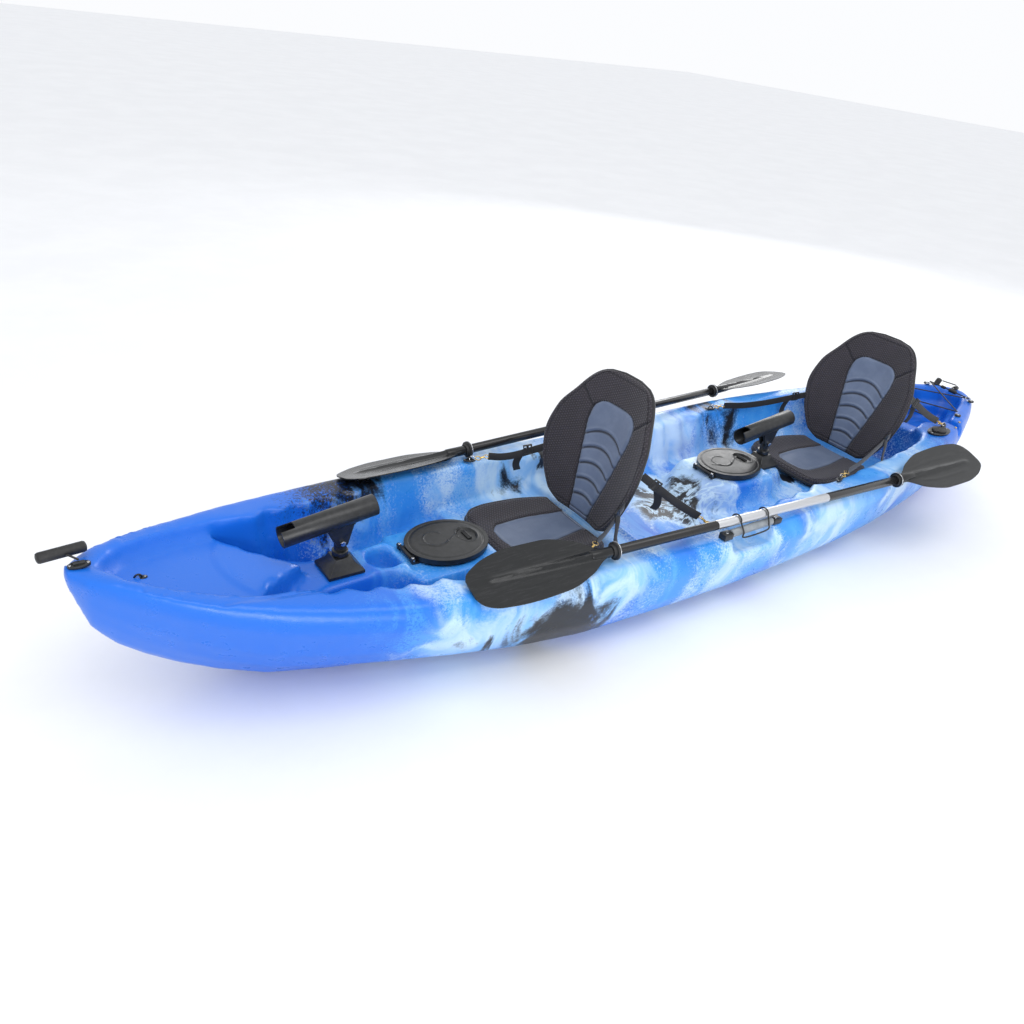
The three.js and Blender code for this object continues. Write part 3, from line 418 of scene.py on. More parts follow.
# both ends are one blue, and the change runs over a hand's width
bow_share = blurred(
    math_node(tree, "MULTIPLY_ADD", drift.outputs["Fac"], 0.35, apart.outputs["X"]), 1.27, 1.40
)
color = mixed(tree, bow_share, color, ROYAL)
stern_share = blurred(
    math_node(tree, "MULTIPLY_ADD", drift.outputs["Fac"], 0.35, apart.outputs["X"]), -0.98, -1.12
)
color = mixed(tree, stern_share, color, mixed(tree, sky, DEEP, ROYAL))
tree.links.new(color, shader.inputs["Base Color"])
shader.inputs["Specular IOR Level"].default_value = 0.45
grained(marble, tree, shader, 0.3, scale=260.0, depth=0.0006, variation=0.22)
hull.data.materials.append(marble)
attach(hull, "hull")
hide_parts("hull")

# ------------------------------------------------------------------------------- black moulded fittings
# Hatch frames, rod holders, cord eyes and grip caps are injection moulded in black, a little glossy,
# with small round edges.
fitting_black = two_tone(
    "fitting_black", (0.008, 0.009, 0.010), (0.018, 0.019, 0.021), 0.36, scale=60.0
)
rubber_black = two_tone(
    "rubber_black", (0.010, 0.010, 0.011), (0.018, 0.018, 0.019), 0.58, scale=90.0, variation=0.2
)
grip_grey = two_tone("grip_grey", (0.20, 0.225, 0.25), (0.27, 0.295, 0.32), 0.42, scale=40.0)
stainless = two_tone(
    "stainless", (0.55, 0.56, 0.58), (0.68, 0.69, 0.70), 0.24, scale=120.0, metallic=1.0
)
brass = two_tone("brass", (0.62, 0.42, 0.14), (0.75, 0.55, 0.24), 0.28, scale=150.0, metallic=1.0)


def dress(name, finish, edge=0.0009):
    node = nodes[name]
    node.data.materials.clear()
    node.data.materials.append(finish)
    for face in node.data.polygons:
        face.use_smooth = True
    weld = node.modifiers.new("weld", "WELD")
    weld.merge_threshold = 0.00002
    bevel = node.modifiers.new("edges", "BEVEL")
    bevel.width = edge
    bevel.segments = 2
    bevel.limit_method = "ANGLE"
    bevel.angle_limit = math.radians(32)
    bevel.harden_normals = True


for end in ("rear", "front"):
    for part, edge in (("hatch_frame", 0.0008), ("hatch_latch", 0.0008), ("hatch_lid", 0.001)):
        dress(end + "_" + part, fitting_black, edge)
    for part, edge in (("rod_base", 0.0022), ("rod_post", 0.0009), ("rod_tube", 0.0012)):
        dress(end + "_" + part, fitting_black, edge)
    dress(end + "_hatch_pin", stainless, 0.0004)
    dress(end + "_rod_bolt", stainless, 0.0006)
for side in ("port", "starboard"):
    dress(side + "_flush_holder", fitting_black, 0.0012)
    dress(side + "_flush_cap", rubber_black, 0.0015)
    dress(side + "_scupper_plug", rubber_black, 0.001)
    dress(side + "_side_grip", grip_grey, 0.0014)
    for end in ("front", "rear"):
        dress(side + "_grip_cap_" + end, fitting_black, 0.005)
    for end in ("bow", "stern"):
        dress(side + "_drip_ring_" + end, rubber_black, 0.0012)
for end in ("bow", "stern"):
    dress(end + "_pad_eye", fitting_black, 0.0018)
    dress(end + "_toggle_handle", rubber_black, 0.006)
    dress(end + "_toggle_cord", rubber_black, 0.0003)


def placed(made, name, finish, body_name):
    made.name = name
    made.data.materials.clear()
    made.data.materials.append(finish)
    only(made)
    bpy.ops.object.transform_apply(location=True, rotation=True, scale=True)
    bpy.ops.object.shade_smooth_by_angle(angle=math.radians(38))
    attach(made, body_name)
    return made


# A domed screw head with a round socket, modelled once and copied to every fixing.
bpy.ops.object.select_all(action="DESELECT")
bpy.ops.mesh.primitive_cylinder_add(vertices=24, radius=1, depth=0.8, location=(0, 0, 0.4))
screw = bpy.context.object
bpy.ops.object.mode_set(mode="EDIT")
shape = bmesh.from_edit_mesh(screw.data)
for face in shape.faces:
    face.select_set(face.normal.z > 0.9)
bmesh.update_edit_mesh(screw.data)
bpy.ops.mesh.bevel(offset=0.35, segments=3)
bpy.ops.mesh.select_all(action="DESELECT")
shape = bmesh.from_edit_mesh(screw.data)
for face in shape.faces:
    face.select_set(face.normal.z > 0.99)
bmesh.update_edit_mesh(screw.data)
bpy.ops.mesh.inset(thickness=0.22)
bpy.ops.mesh.extrude_region_move(TRANSFORM_OT_translate={"value": (0, 0, -0.4)})
bpy.ops.object.mode_set(mode="OBJECT")
screw_shape = screw.data
bpy.data.objects.remove(screw)


def screw_at(name, place, radius, body_name, up=(0, 0, 1), finish=None):
    made = linked(name, screw_shape.copy())
    made.location = place
    made.rotation_euler = Vector(up).to_track_quat("Z", "Y").to_euler()
    made.scale = (radius, radius, radius)
    return placed(made, name, finish or stainless, body_name)


# ------------------------------------------------------------------------------------------ hatch lids
# Each lid is a shallow oval dish with a moulded swirl, a groove inside its edge and a finger well that
# holds the latch. It turns on a steel pin, and two screws hold the hinge to the frame.
LID_RECESS = (-0.068, 0.028, 0.035, 0.0047)


def face_outward(made, merge=0.0):
    only(made)
    bpy.ops.object.mode_set(mode="EDIT")
    bpy.ops.mesh.select_all(action="SELECT")
    if merge:
        bpy.ops.mesh.remove_doubles(threshold=merge)
    bpy.ops.mesh.normals_make_consistent(inside=False)
    bpy.ops.object.mode_set(mode="OBJECT")


for end in ("rear", "front"):
    low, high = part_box(end + "_hatch_lid")
    centre = low.x + 0.127
    half_x, half_y = 0.1278, 0.1058
    top = high.z + 0.0003
    verts, faces = [], []
    turns, rings = 120, 44
    for i in range(rings + 1):
        share = (i / rings) ** 0.85
        for k in range(turns):
            angle = 2 * math.pi * k / turns
            px, py = share * half_x * math.cos(angle), share * half_y * math.sin(angle)
            height = 0.0016 * (1 - share ** 2)
            height -= 0.0016 * float(groove(share - 0.87, 0.012, 0.02))
            swirl = py - 0.020 * math.sin((px + 0.02) * 34)
            if -0.085 < px < 0.085 and share < 0.84:
                height += 0.0016 * float(groove(swirl, 0.0008, 0.0028))
            loop = math.hypot((px - 0.030) / 1.0, (py + 0.012)) - 0.036
            if share < 0.84 and px > 0.0:
                height += 0.0014 * float(groove(loop, 0.0006, 0.0026))
            rx, ax, ay, deep = LID_RECESS
            well = math.hypot((px - rx) / ax, py / ay)
            height -= (deep + 0.0016 * (1 - share ** 2)) * float(1 - step(well, 0.93, 1.04))
            height += 0.0012 * float(groove(well - 1.12, 0.03, 0.06))
            verts.append((centre + px, py, top + height))
    drop = [(1.0, -0.0012), (1.002, -0.0035), (1.0, -0.0158), (0.975, -0.0158)]
    for grow, fall in drop:
        for k in range(turns):
            angle = 2 * math.pi * k / turns
            verts.append((
                centre + grow * half_x * math.cos(angle), grow * half_y * math.sin(angle), top + fall
            ))
    for i in range(rings + len(drop)):
        for k in range(turns):
            n = (k + 1) % turns
            faces.append((i * turns + k, (i + 1) * turns + k, (i + 1) * turns + n, i * turns + n))
    data = bpy.data.meshes.new(end + "_lid_cover")
    data.from_pydata(verts, [], faces)
    cover = linked(end + "_lid_cover", data)
    face_outward(cover, merge=0.00001)
    placed(cover, end + "_lid_cover", fitting_black, end + "_lid")
    pin_low, pin_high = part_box(end + "_hatch_pin")
    for s in (1, -1):
        screw_at(
            f"{end}_hinge_screw_{'port' if s > 0 else 'starboard'}",
            ((pin_low.x + pin_high.x) / 2, s * 0.040, pin_high.z + 0.0028), 0.0042, "hull"
        )

# ------------------------------------------------------------------------------------------- the seats
# Thermoformed foam: honeycomb mesh over the bolsters, a smooth blue-grey middle with pressed channels,
# a piped edge, and plain black cloth behind. Webbing at four corners clips to eyes on the rim.
RECLINE = math.radians(15)
BACK_TALL, BACK_HALF, WRAP = 0.470, 0.220, 0.062
PAD_LONG, PAD_HALF = 0.336, 0.192


def smooth_line(table):
    xs, ys = zip(*table)
    slopes = [0.0]
    for k in range(1, len(xs) - 1):
        before = (ys[k] - ys[k - 1]) / (xs[k] - xs[k - 1])
        after = (ys[k + 1] - ys[k]) / (xs[k + 1] - xs[k])
        slopes.append(0.0 if before * after <= 0 else 2 * before * after / (before + after))
    slopes.append(0.0)

    def value(at):
        if at <= xs[0]:
            return ys[0]
        if at >= xs[-1]:
            return ys[-1]
        k = next(i for i in range(1, len(xs)) if xs[i] >= at)
        h = xs[k] - xs[k - 1]
        t = (at - xs[k - 1]) / h
        rise = ys[k] - ys[k - 1]
        return ys[k - 1] + rise * t * t * (3 - 2 * t) + h * t * (1 - t) * (
            slopes[k - 1] * (1 - t) - slopes[k] * t
        )

    return value


back_outline = smooth_line([
    (0, 0.44), (0.02, 0.55), (0.06, 0.68), (0.3, 0.94), (0.46, 1), (0.62, 0.95), (0.78, 0.78),
    (0.88, 0.66), (0.94, 0.55),
    (0.975, 0.43), (0.992, 0.30), (1, 0.16),
])
pad_outline = smooth_line([
    (0, 0.74), (0.03, 0.81), (0.12, 0.87), (0.4, 0.97), (0.7, 1.0), (0.84, 0.97), (0.93, 0.87),
    (0.98, 0.70), (1, 0.50)
])
back_insert = smooth_line([
    (0.0, 0.046), (0.25, 0.066), (0.5, 0.088), (0.64, 0.098), (0.72, 0.094), (0.765, 0.078),
    (0.79, 0.05), (0.80, 0.0)
])
pad_insert = smooth_line([(0.0, 0.060), (0.5, 0.078), (0.75, 0.076), (0.85, 0.050), (0.88, 0.0)])


def honeycomb_group():
    group = bpy.data.node_groups.new("honeycomb_mesh", "ShaderNodeTree")
    socket = group.interface.new_socket("Pitch", in_out="INPUT", socket_type="NodeSocketFloat")
    socket.default_value = 0.006
    group.interface.new_socket("Height", in_out="OUTPUT", socket_type="NodeSocketFloat")
    given = group.nodes.new("NodeGroupInput")
    put = group.nodes.new("NodeGroupOutput")
    lay = group.nodes.new("ShaderNodeUVMap")
    lay.uv_map = "lay"
    total = None
    for turn in (0, 60, 120):
        dot = group.nodes.new("ShaderNodeVectorMath")
        dot.operation = "DOT_PRODUCT"
        group.links.new(lay.outputs[0], dot.inputs[0])
        dot.inputs[1].default_value = (math.cos(math.radians(turn)), math.sin(math.radians(turn)), 0)
        phase = math_node(group, "DIVIDE", dot.outputs["Value"], given.outputs["Pitch"])
        wave = math_node(group, "COSINE", math_node(group, "MULTIPLY", phase, 2 * math.pi))
        total = wave if total is None else math_node(group, "ADD", total, wave)
    group.links.new(math_node(group, "MULTIPLY_ADD", total, 1 / 3, 0.35), put.inputs["Height"])
    return group


honeycomb = honeycomb_group()


def cloth(name, color, light, roughness, bump):
    made, tree, shader = material(name, color, roughness)
    shader.inputs["Sheen Weight"].default_value = 0.35
    shader.inputs["Sheen Roughness"].default_value = 0.4
    where = tree.nodes.new("ShaderNodeTexCoord").outputs["Object"]
    worn = noise_node(tree, where, 14.0, 5.0, 0.6)
    fade = mapped(tree, worn.outputs["Fac"], 0.35, 0.7)
    lift = tree.nodes.new("ShaderNodeBump")
    thread = noise_node(tree, where, 700.0, 3.0, 0.6)
    tree.links.new(mixed(tree, fade, color, light), shader.inputs["Base Color"])
    lift.inputs["Strength"].default_value = 0.45
    lift.inputs["Distance"].default_value = bump
    tree.links.new(thread.outputs["Fac"], lift.inputs["Height"])
    tree.links.new(lift.outputs["Normal"], shader.inputs["Normal"])
    return made



def two_part_cloth():
    """Honeycomb mesh, smooth blue-grey where smooth_part is over nought, darkened by painted shade in
    the pressed channels, seams and edge grooves.
    """
    made, tree, shader = material("seat_cloth", (0.02, 0.02, 0.03), 0.7)
    shader.inputs["Sheen Weight"].default_value = 0.2
    where = tree.nodes.new("ShaderNodeTexCoord").outputs["Object"]
    painted = tree.nodes.new("ShaderNodeAttribute")
    painted.attribute_name = "smooth_part"
    part = mapped(tree, painted.outputs["Fac"], -0.0004, 0.0004)
    worn = mapped(tree, noise_node(tree, where, 14.0, 5.0, 0.6).outputs["Fac"], 0.35, 0.7)
    cells = tree.nodes.new("ShaderNodeGroup")
    cells.node_tree = honeycomb
    cells.inputs["Pitch"].default_value = 0.0075
    holes = mapped(tree, cells.outputs["Height"], 0.45, 0.85)
    mesh_color = mixed(
        tree, holes, mixed(tree, worn, (0.012, 0.010, 0.015), (0.018, 0.015, 0.022)),
        (0.040, 0.034, 0.046)
    )
    smooth_color = mixed(tree, worn, (0.085, 0.118, 0.195), (0.115, 0.152, 0.235))
    # painted shade: the cloth's colour is darkened toward near-black in the pressed channels, the
    # border seam and the edge groove, as if shade lay in them
    painted_shade_attribute = tree.nodes.new("ShaderNodeAttribute")
    painted_shade_attribute.attribute_name = "painted_crease_shade"
    crease_shade_amount = math_node(tree, "MULTIPLY", mapped(tree, painted_shade_attribute.outputs["Fac"], 0.25, 0.9), 0.82)
    cover = mixed(tree, part, mesh_color, smooth_color)
    tree.links.new(mixed(tree, crease_shade_amount, cover, (0.006, 0.006, 0.012)), shader.inputs["Base Color"])
    tree.links.new(mapped(tree, part, 0.0, 1.0, 0.78, 0.5), shader.inputs["Roughness"])
    thread = noise_node(tree, where, 600.0, 3.0, 0.6)
    woven = math_node(tree, "MULTIPLY", cells.outputs["Height"], math_node(tree, "SUBTRACT", 1.0, part))
    height = math_node(
        tree, "MULTIPLY_ADD", math_node(tree, "MULTIPLY", thread.outputs["Fac"], part), 0.25, woven
    )
    lift = tree.nodes.new("ShaderNodeBump")
    lift.inputs["Strength"].default_value = 0.9
    lift.inputs["Distance"].default_value = 0.0010
    tree.links.new(height, lift.inputs["Height"])
    tree.links.new(lift.outputs["Normal"], shader.inputs["Normal"])
    return made


seat_cloth = two_part_cloth()
plain_cloth = cloth("plain_black_cloth", (0.006, 0.006, 0.008), (0.012, 0.012, 0.015), 0.8, bump=0.0005)
piping_cloth = cloth("piping", (0.006, 0.006, 0.008), (0.014, 0.014, 0.017), 0.6, bump=0.0003)
webbing = cloth("webbing", (0.006, 0.006, 0.007), (0.013, 0.013, 0.015), 0.7, bump=0.0006)


def insert_depth(line, length, top):
    def depth(up, y):
        return min(line(up) - abs(y), (top - up) * length)
    return depth


def channels(depth, rows, bow, half, length):
    """How far the pressed channels of the smooth middle sink at a place."""
    def sink(up, y):
        inside = depth(up, y)
        if inside < 0.002:
            return 0.0
        total = 0.0
        for row in rows:
            off = (up - row + bow * (y / half) ** 2) * length
            total += float(groove(off, 0.0016, 0.0045))
            total -= 0.55 * float(groove(off - 0.010, 0.0012, 0.0050))
        return total * float(step(inside, 0.002, 0.010))
    return sink


def cushion(name, place, outline, length, edge, full, relief, inside, rows, columns, round_over):
    ups = [0.0] + [0.5 * (1 - math.cos(math.pi * i / 40)) * 0.06 for i in range(1, 21)]
    ups += list(np.linspace(0.03, 0.97, rows))[1:-1]
    ups += [1 - v for v in reversed(ups[:21])]
    ups = sorted(set(round(v, 6) for v in ups))
    even = [-1 + 2 * j / columns for j in range(columns + 1)]
    acrosses = [math.sin(math.pi / 2 * v) * 0.35 + v * 0.65 for v in even]
    verts, lays, crease_shade_amounts = [], [], []
    for face_side in (1, -1):
        for up in ups:
            half = outline(up)
            for across in acrosses:
                y = across * half
                rim = min((1 - abs(across)) * half, up * length, (1 - up) * length)
                swell = math.sqrt(max(0.0, 1 - (1 - min(1.0, rim / round_over)) ** 2))
                out = face_side * (edge + full * swell)
                # the second value of a relief is how much painted shade darkens the cloth at this point
                height, crease_shade_amount = relief(up, y, rim) if face_side > 0 else (0.0, 0.0)
                verts.append(place(up, y, out + height))
                lays.append((y, up * length))
                crease_shade_amounts.append(crease_shade_amount)
    row = columns + 1
    sheet = row * len(ups)
    faces, finish = [], []
    for i in range(len(ups) - 1):
        for j in range(columns):
            a = i * row + j
            faces.append((a, a + 1, a + row + 1, a + row))
            finish.append(0)
            faces.append((sheet + a, sheet + a + row, sheet + a + row + 1, sheet + a + 1))
            finish.append(1)
        for a in (i * row, i * row + columns):
            faces.append((a, a + row, sheet + a + row, sheet + a))
            finish.append(1)
    for j in range(columns):
        for a in (j, (len(ups) - 1) * row + j):
            faces.append((a, sheet + a, sheet + a + 1, a + 1))
            finish.append(1)
    data = bpy.data.meshes.new(name)
    data.from_pydata(verts, [], faces)
    for number, face in zip(finish, data.polygons):
        face.material_index = number
        face.use_smooth = True
    layer = data.uv_layers.new(name="lay")
    for loop in data.loops:
        layer.data[loop.index].uv = lays[loop.vertex_index]
    made = linked(name, data)
    share = data.attributes.new("smooth_part", "FLOAT", "POINT")
    painted_shade_attribute = data.attributes.new("painted_crease_shade", "FLOAT", "POINT")
    for k, (y, run) in enumerate(lays):
        share.data[k].value = inside(run / length, y) if k < sheet else -1.0
        painted_shade_attribute.data[k].value = crease_shade_amounts[k]
    data.materials.append(seat_cloth)
    data.materials.append(plain_cloth)
    face_outward(made)
    return made


def tube_along(name, path, radius, finish, cyclic=False, sides=3):
    line = bpy.data.curves.new(name, "CURVE")
    line.dimensions = "3D"
    line.bevel_depth = radius
    line.bevel_resolution = sides
    line.use_fill_caps = not cyclic
    run = line.splines.new("POLY")
    run.points.add(len(path) - 1)
    for point, at in zip(run.points, path):
        point.co = (*at, 1)
    run.use_cyclic_u = cyclic
    made = linked(name, line)
    only(made)
    bpy.ops.object.convert(target="MESH")
    made = bpy.context.object
    made.name = name
    for face in made.data.polygons:
        face.use_smooth = True
    made.data.materials.clear()
    made.data.materials.append(finish)
    return made


def spline_through(points, per=10):
    knots = [Vector(p) for p in points]
    knots = [knots[0] * 2 - knots[1]] + knots + [knots[-1] * 2 - knots[-2]]
    path = []
    for k in range(1, len(knots) - 2):
        p0, p1, p2, p3 = knots[k - 1:k + 3]
        for i in range(per):
            t = i / per
            bend, twist = 2 * p0 - 5 * p1 + 4 * p2 - p3, 3 * p1 - p0 - 3 * p2 + p3
            path.append(0.5 * (2 * p1 + (p2 - p0) * t + bend * t * t + twist * t ** 3))
    path.append(knots[-2])
    return path


def strap_along(name, points, width, thick, upright=(0, 0, 1), per=10, finish=None):
    path = spline_through(points, per)
    verts, faces = [], []
    up = Vector(upright)
    for i, at in enumerate(path):
        run = (path[min(i + 1, len(path) - 1)] - path[max(i - 1, 0)]).normalized()
        wide = (up - run * up.dot(run)).normalized()
        flat = run.cross(wide).normalized()
        for across, out in (
            (1, 0.5), (0.9, 1), (-0.9, 1), (-1, 0.5), (-1, -0.5), (-0.9, -1), (0.9, -1), (1, -0.5)
        ):
            verts.append(at + wide * across * width / 2 + flat * out * thick / 2)
    ring = 8
    for i in range(len(path) - 1):
        for k in range(ring):
            n = (k + 1) % ring
            faces.append((i * ring + k, i * ring + n, (i + 1) * ring + n, (i + 1) * ring + k))
    faces.append(tuple(range(ring)))
    faces.append(tuple(range((len(path) - 1) * ring, len(path) * ring))[::-1])
    data = bpy.data.meshes.new(name)
    data.from_pydata([tuple(v) for v in verts], [], faces)
    data.materials.append(finish or webbing)
    made = linked(name, data)
    face_outward(made)
    bpy.ops.object.shade_smooth_by_angle(angle=math.radians(50))
    return made


ROWS = 150
COLUMNS = 104
back_inside = insert_depth(back_insert, BACK_TALL, 0.795)
back_channels = channels(back_inside, (0.60, 0.485, 0.37, 0.255, 0.14), 0.075, 0.085, BACK_TALL)
pad_inside = insert_depth(pad_insert, PAD_LONG, 0.875)


def back_relief(up, y, rim):
    depth = back_inside(up, y)
    border = float(groove(depth, 0.0012, 0.0045))
    rows = back_channels(up, y)
    edge = float(groove(rim - 0.015, 0.0010, 0.0035))
    seam = 0.0
    if depth < 0 and up > 0.5:
        off = (up - 0.70 - 1.9 * (abs(y) - 0.088)) * BACK_TALL * 0.7
        seam = float(groove(off, 0.0014, 0.0050)) * float(step(abs(y), 0.075, 0.09))
    swell = 0.0035 * float(step(depth, 0.0, 0.012))
    height = swell - 0.0050 * border - 0.0052 * rows - 0.0032 * edge - 0.0050 * seam
    # the second value is the painted shade laid into the border, the channels, the edge groove and the
    # seam
    return height, min(1.0, border + max(0.0, rows) + 0.7 * edge + seam)


def pad_relief(up, y, rim):
    depth = pad_inside(up, y)
    border = float(groove(depth, 0.0012, 0.0045))
    edge = float(groove(rim - 0.014, 0.0010, 0.0035))
    dish = -0.004 * float(step(depth, 0.0, 0.02))
    bolster = 0.006 * float(step(abs(y), 0.09, 0.16)) * float(step(rim, 0.0, 0.03))
    # the second value is the painted shade laid into the border and the edge groove
    return dish + bolster - 0.0050 * border - 0.0032 * edge, min(1.0, border + 0.7 * edge)


EYES = {
    "rear": {"front": (-0.5402, 0.3132, 0.302), "back": (-1.3542, 0.214, 0.3285), "grip": 0.62},
    "front": {"front": (0.6013, 0.3062, 0.297), "back": (0.0999, 0.3240, 0.280), "grip": 0.50},
}
def back_place(end):
    """A seat back's own way from a share of its height, a place across and a way out to a point."""
    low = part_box(end + "_seat_base")[0]
    hinge = Vector((low.x - 0.016, 0, low.z + 0.042))

    def place(up, y, out):
        forward = WRAP * (y / BACK_HALF) ** 2 + out
        rise = up * BACK_TALL
        return Vector((
            hinge.x + forward * math.cos(RECLINE) - rise * math.sin(RECLINE),
            y,
            hinge.z + rise * math.cos(RECLINE) + forward * math.sin(RECLINE),
        ))

    return place


def edge_loop(place, outline, half):
    """The points of a cushion's edge, once round."""
    ups = np.linspace(0, 1, 60)
    crossing = np.linspace(0.8, -0.8, 9)
    loop = [place(up, outline(up) * half * 0.995, 0.0) for up in ups]
    loop += [place(1, across * outline(1) * half, 0.0) for across in crossing]
    loop += [place(up, -outline(up) * half * 0.995, 0.0) for up in reversed(ups)]
    loop += [place(0, -across * outline(0) * half, 0.0) for across in crossing]
    return loop


for end in ("rear", "front"):
    base_low, base_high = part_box(end + "_seat_base")
    on_back = back_place(end)

    def on_pad(up, y, out, low=base_low, high=base_high):
        middle = (low.z + high.z) / 2
        lift = 0.010 * max(0.0, (abs(y) - 0.10) / 0.09) ** 2
        return (
            low.x + up * PAD_LONG, y, middle + (out + lift if out > 0 else max(out, low.z - middle))
        )

    seat_back = cushion(
        end + "_back_cushion", on_back, lambda up: back_outline(up) * BACK_HALF, BACK_TALL, 0.0045,
        0.0095,
        back_relief, back_inside, ROWS, COLUMNS, 0.016)
    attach(seat_back, end + "_back")
    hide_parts(end + "_seat_back")
    seat_pad = cushion(
        end + "_pad_cushion", on_pad, lambda up: pad_outline(up) * PAD_HALF, PAD_LONG, 0.004, 0.0115,
        pad_relief, pad_inside, ROWS, COLUMNS, 0.018)
    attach(seat_pad, "hull")
    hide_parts(end + "_seat_base")

    # the piped edges
    loop = edge_loop(on_back, back_outline, BACK_HALF)
    piping = tube_along(end + "_back_piping", loop, 0.0052, piping_cloth, cyclic=True)
    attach(piping, end + "_back")
    loop = edge_loop(on_pad, pad_outline, PAD_HALF)
    piping = tube_along(end + "_pad_piping", loop, 0.0048, piping_cloth, cyclic=True)
    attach(piping, "hull")

# ------------------------------------------------------------------------------ seat straps and clips
# Black webbing with a ladder-lock buckle and a loose tail, a brass snap hook on its end, and a steel
# ring through a black eye that is screwed to the rim.
def soften(made, width):
    soft = made.modifiers.new("soft", "BEVEL")
    soft.width = width
    soft.segments = 3
    soft.limit_method = "ANGLE"
    apply_all(made)


def ring_at(name, place, normal, radius, wire, finish, body_name, stretch=1.0):
    bpy.ops.object.select_all(action="DESELECT")
    bpy.ops.mesh.primitive_torus_add(
        major_radius=radius, minor_radius=wire, major_segments=36, minor_segments=10
    )
    made = bpy.context.object
    made.location = place
    made.scale = (stretch, 1, 1)
    made.rotation_euler = Vector(normal).to_track_quat("Z", "X").to_euler()
    return placed(made, name, finish, body_name)


def rod_between(name, a, b, radius, finish, body_name, sides=20, bevel=0.0):
    a, b = Vector(a), Vector(b)
    bpy.ops.object.select_all(action="DESELECT")
    bpy.ops.mesh.primitive_cylinder_add(vertices=sides, radius=radius, depth=(b - a).length)
    made = bpy.context.object
    if bevel:
        soften(made, bevel)
    made.location = (a + b) / 2
    made.rotation_euler = (b - a).to_track_quat("Z", "Y").to_euler()
    return placed(made, name, finish, body_name)


def eye_at(name, place, turn, body_name="hull"):
    """A small oval eye: a bevelled base with a bail over it, and two screws."""
    bpy.ops.object.select_all(action="DESELECT")
    bpy.ops.mesh.primitive_cylinder_add(vertices=32, radius=1, depth=1)
    base = bpy.context.object
    base.scale = (0.021, 0.0095, 0.005)
    bpy.ops.object.transform_apply(location=False, rotation=False, scale=True)
    soften(base, 0.0016)
    base.location = Vector(place) + Vector((0, 0, 0.0026))
    base.rotation_euler = (0, 0, turn)
    placed(base, name, fitting_black, body_name)
    along = Vector((math.cos(turn), math.sin(turn), 0))
    up = Vector((0, 0, 1))
    bail = [
        Vector(place) + along * 0.0085 * math.cos(a) + up * (0.004 + 0.0095 * math.sin(a))
        for a in np.linspace(0, math.pi, 13)
    ]
    hoop = tube_along(name + "_bail", bail, 0.0024, fitting_black)
    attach(hoop, body_name)
    for s in (1, -1):
        screw_at(
            f"{name}_screw_{'a' if s > 0 else 'b'}",
            Vector(place) + along * 0.0155 * s + Vector((0, 0, 0.0048)), 0.0026, body_name
        )


def buckle_at(name, place, run, face, body_name):
    """A ladder-lock buckle: a rounded frame with three bars, lying along the strap."""
    run, face = Vector(run).normalized(), Vector(face).normalized()
    wide = face.cross(run).normalized()
    turn = Matrix((run, wide, face)).transposed().to_4x4()
    bpy.ops.object.select_all(action="DESELECT")
    bpy.ops.mesh.primitive_cube_add(size=1)
    made = bpy.context.object
    made.scale = (0.030, 0.036, 0.0055)
    bpy.ops.object.transform_apply(location=False, rotation=False, scale=True)
    for offset in (-0.0075, 0.0075):
        bpy.ops.mesh.primitive_cube_add(size=1, location=(offset, 0, 0))
        slot_cut = bpy.context.object
        slot_cut.scale = (0.0075, 0.027, 0.02)
        bpy.ops.object.transform_apply(location=True, rotation=False, scale=True)
        opening = made.modifiers.new("slot", "BOOLEAN")
        opening.operation = "DIFFERENCE"
        opening.object = slot_cut
        apply_all(made)
        bpy.data.objects.remove(slot_cut)
    soft = made.modifiers.new("soft", "BEVEL")
    soft.width = 0.0011
    soft.segments = 2
    apply_all(made)
    made.matrix_world = Matrix.Translation(place) @ turn
    return placed(made, name, fitting_black, body_name)


def snap_hook(name, eye, towards):
    """A ring through the eye, a brass hook and its swivel; returns where the strap starts."""
    eye = Vector(eye)
    run = (Vector(towards) - eye).normalized()
    lift = Vector((0, 0, 0.008))
    flat = Vector((run.x, run.y, 0)).normalized()
    side = flat.cross(Vector((0, 0, 1)))
    ring_at(
        name + "_ring", eye + lift + flat * 0.009, (side + Vector((0, 0, 0.35))).normalized(), 0.0095,
        0.0013, stainless, "hull"
    )
    start = eye + lift + flat * 0.016
    ring_at(
        name + "_hook", start + run * 0.012, (Vector((0, 0, 1)) + side * 0.3).normalized(), 0.0085,
        0.0019, brass, "hull", 1.0
    )
    rod_between(
        name + "_gate", start + run * 0.019, start + run * 0.033, 0.0034, brass, "hull", 16,
        0.0008
    )
    ring_at(
        name + "_swivel", start + run * 0.040, (Vector((0, 0, 1)) + side * 0.2).normalized(), 0.0085,
        0.0015, brass, "hull", 1.0
    )
    return start + run * 0.046


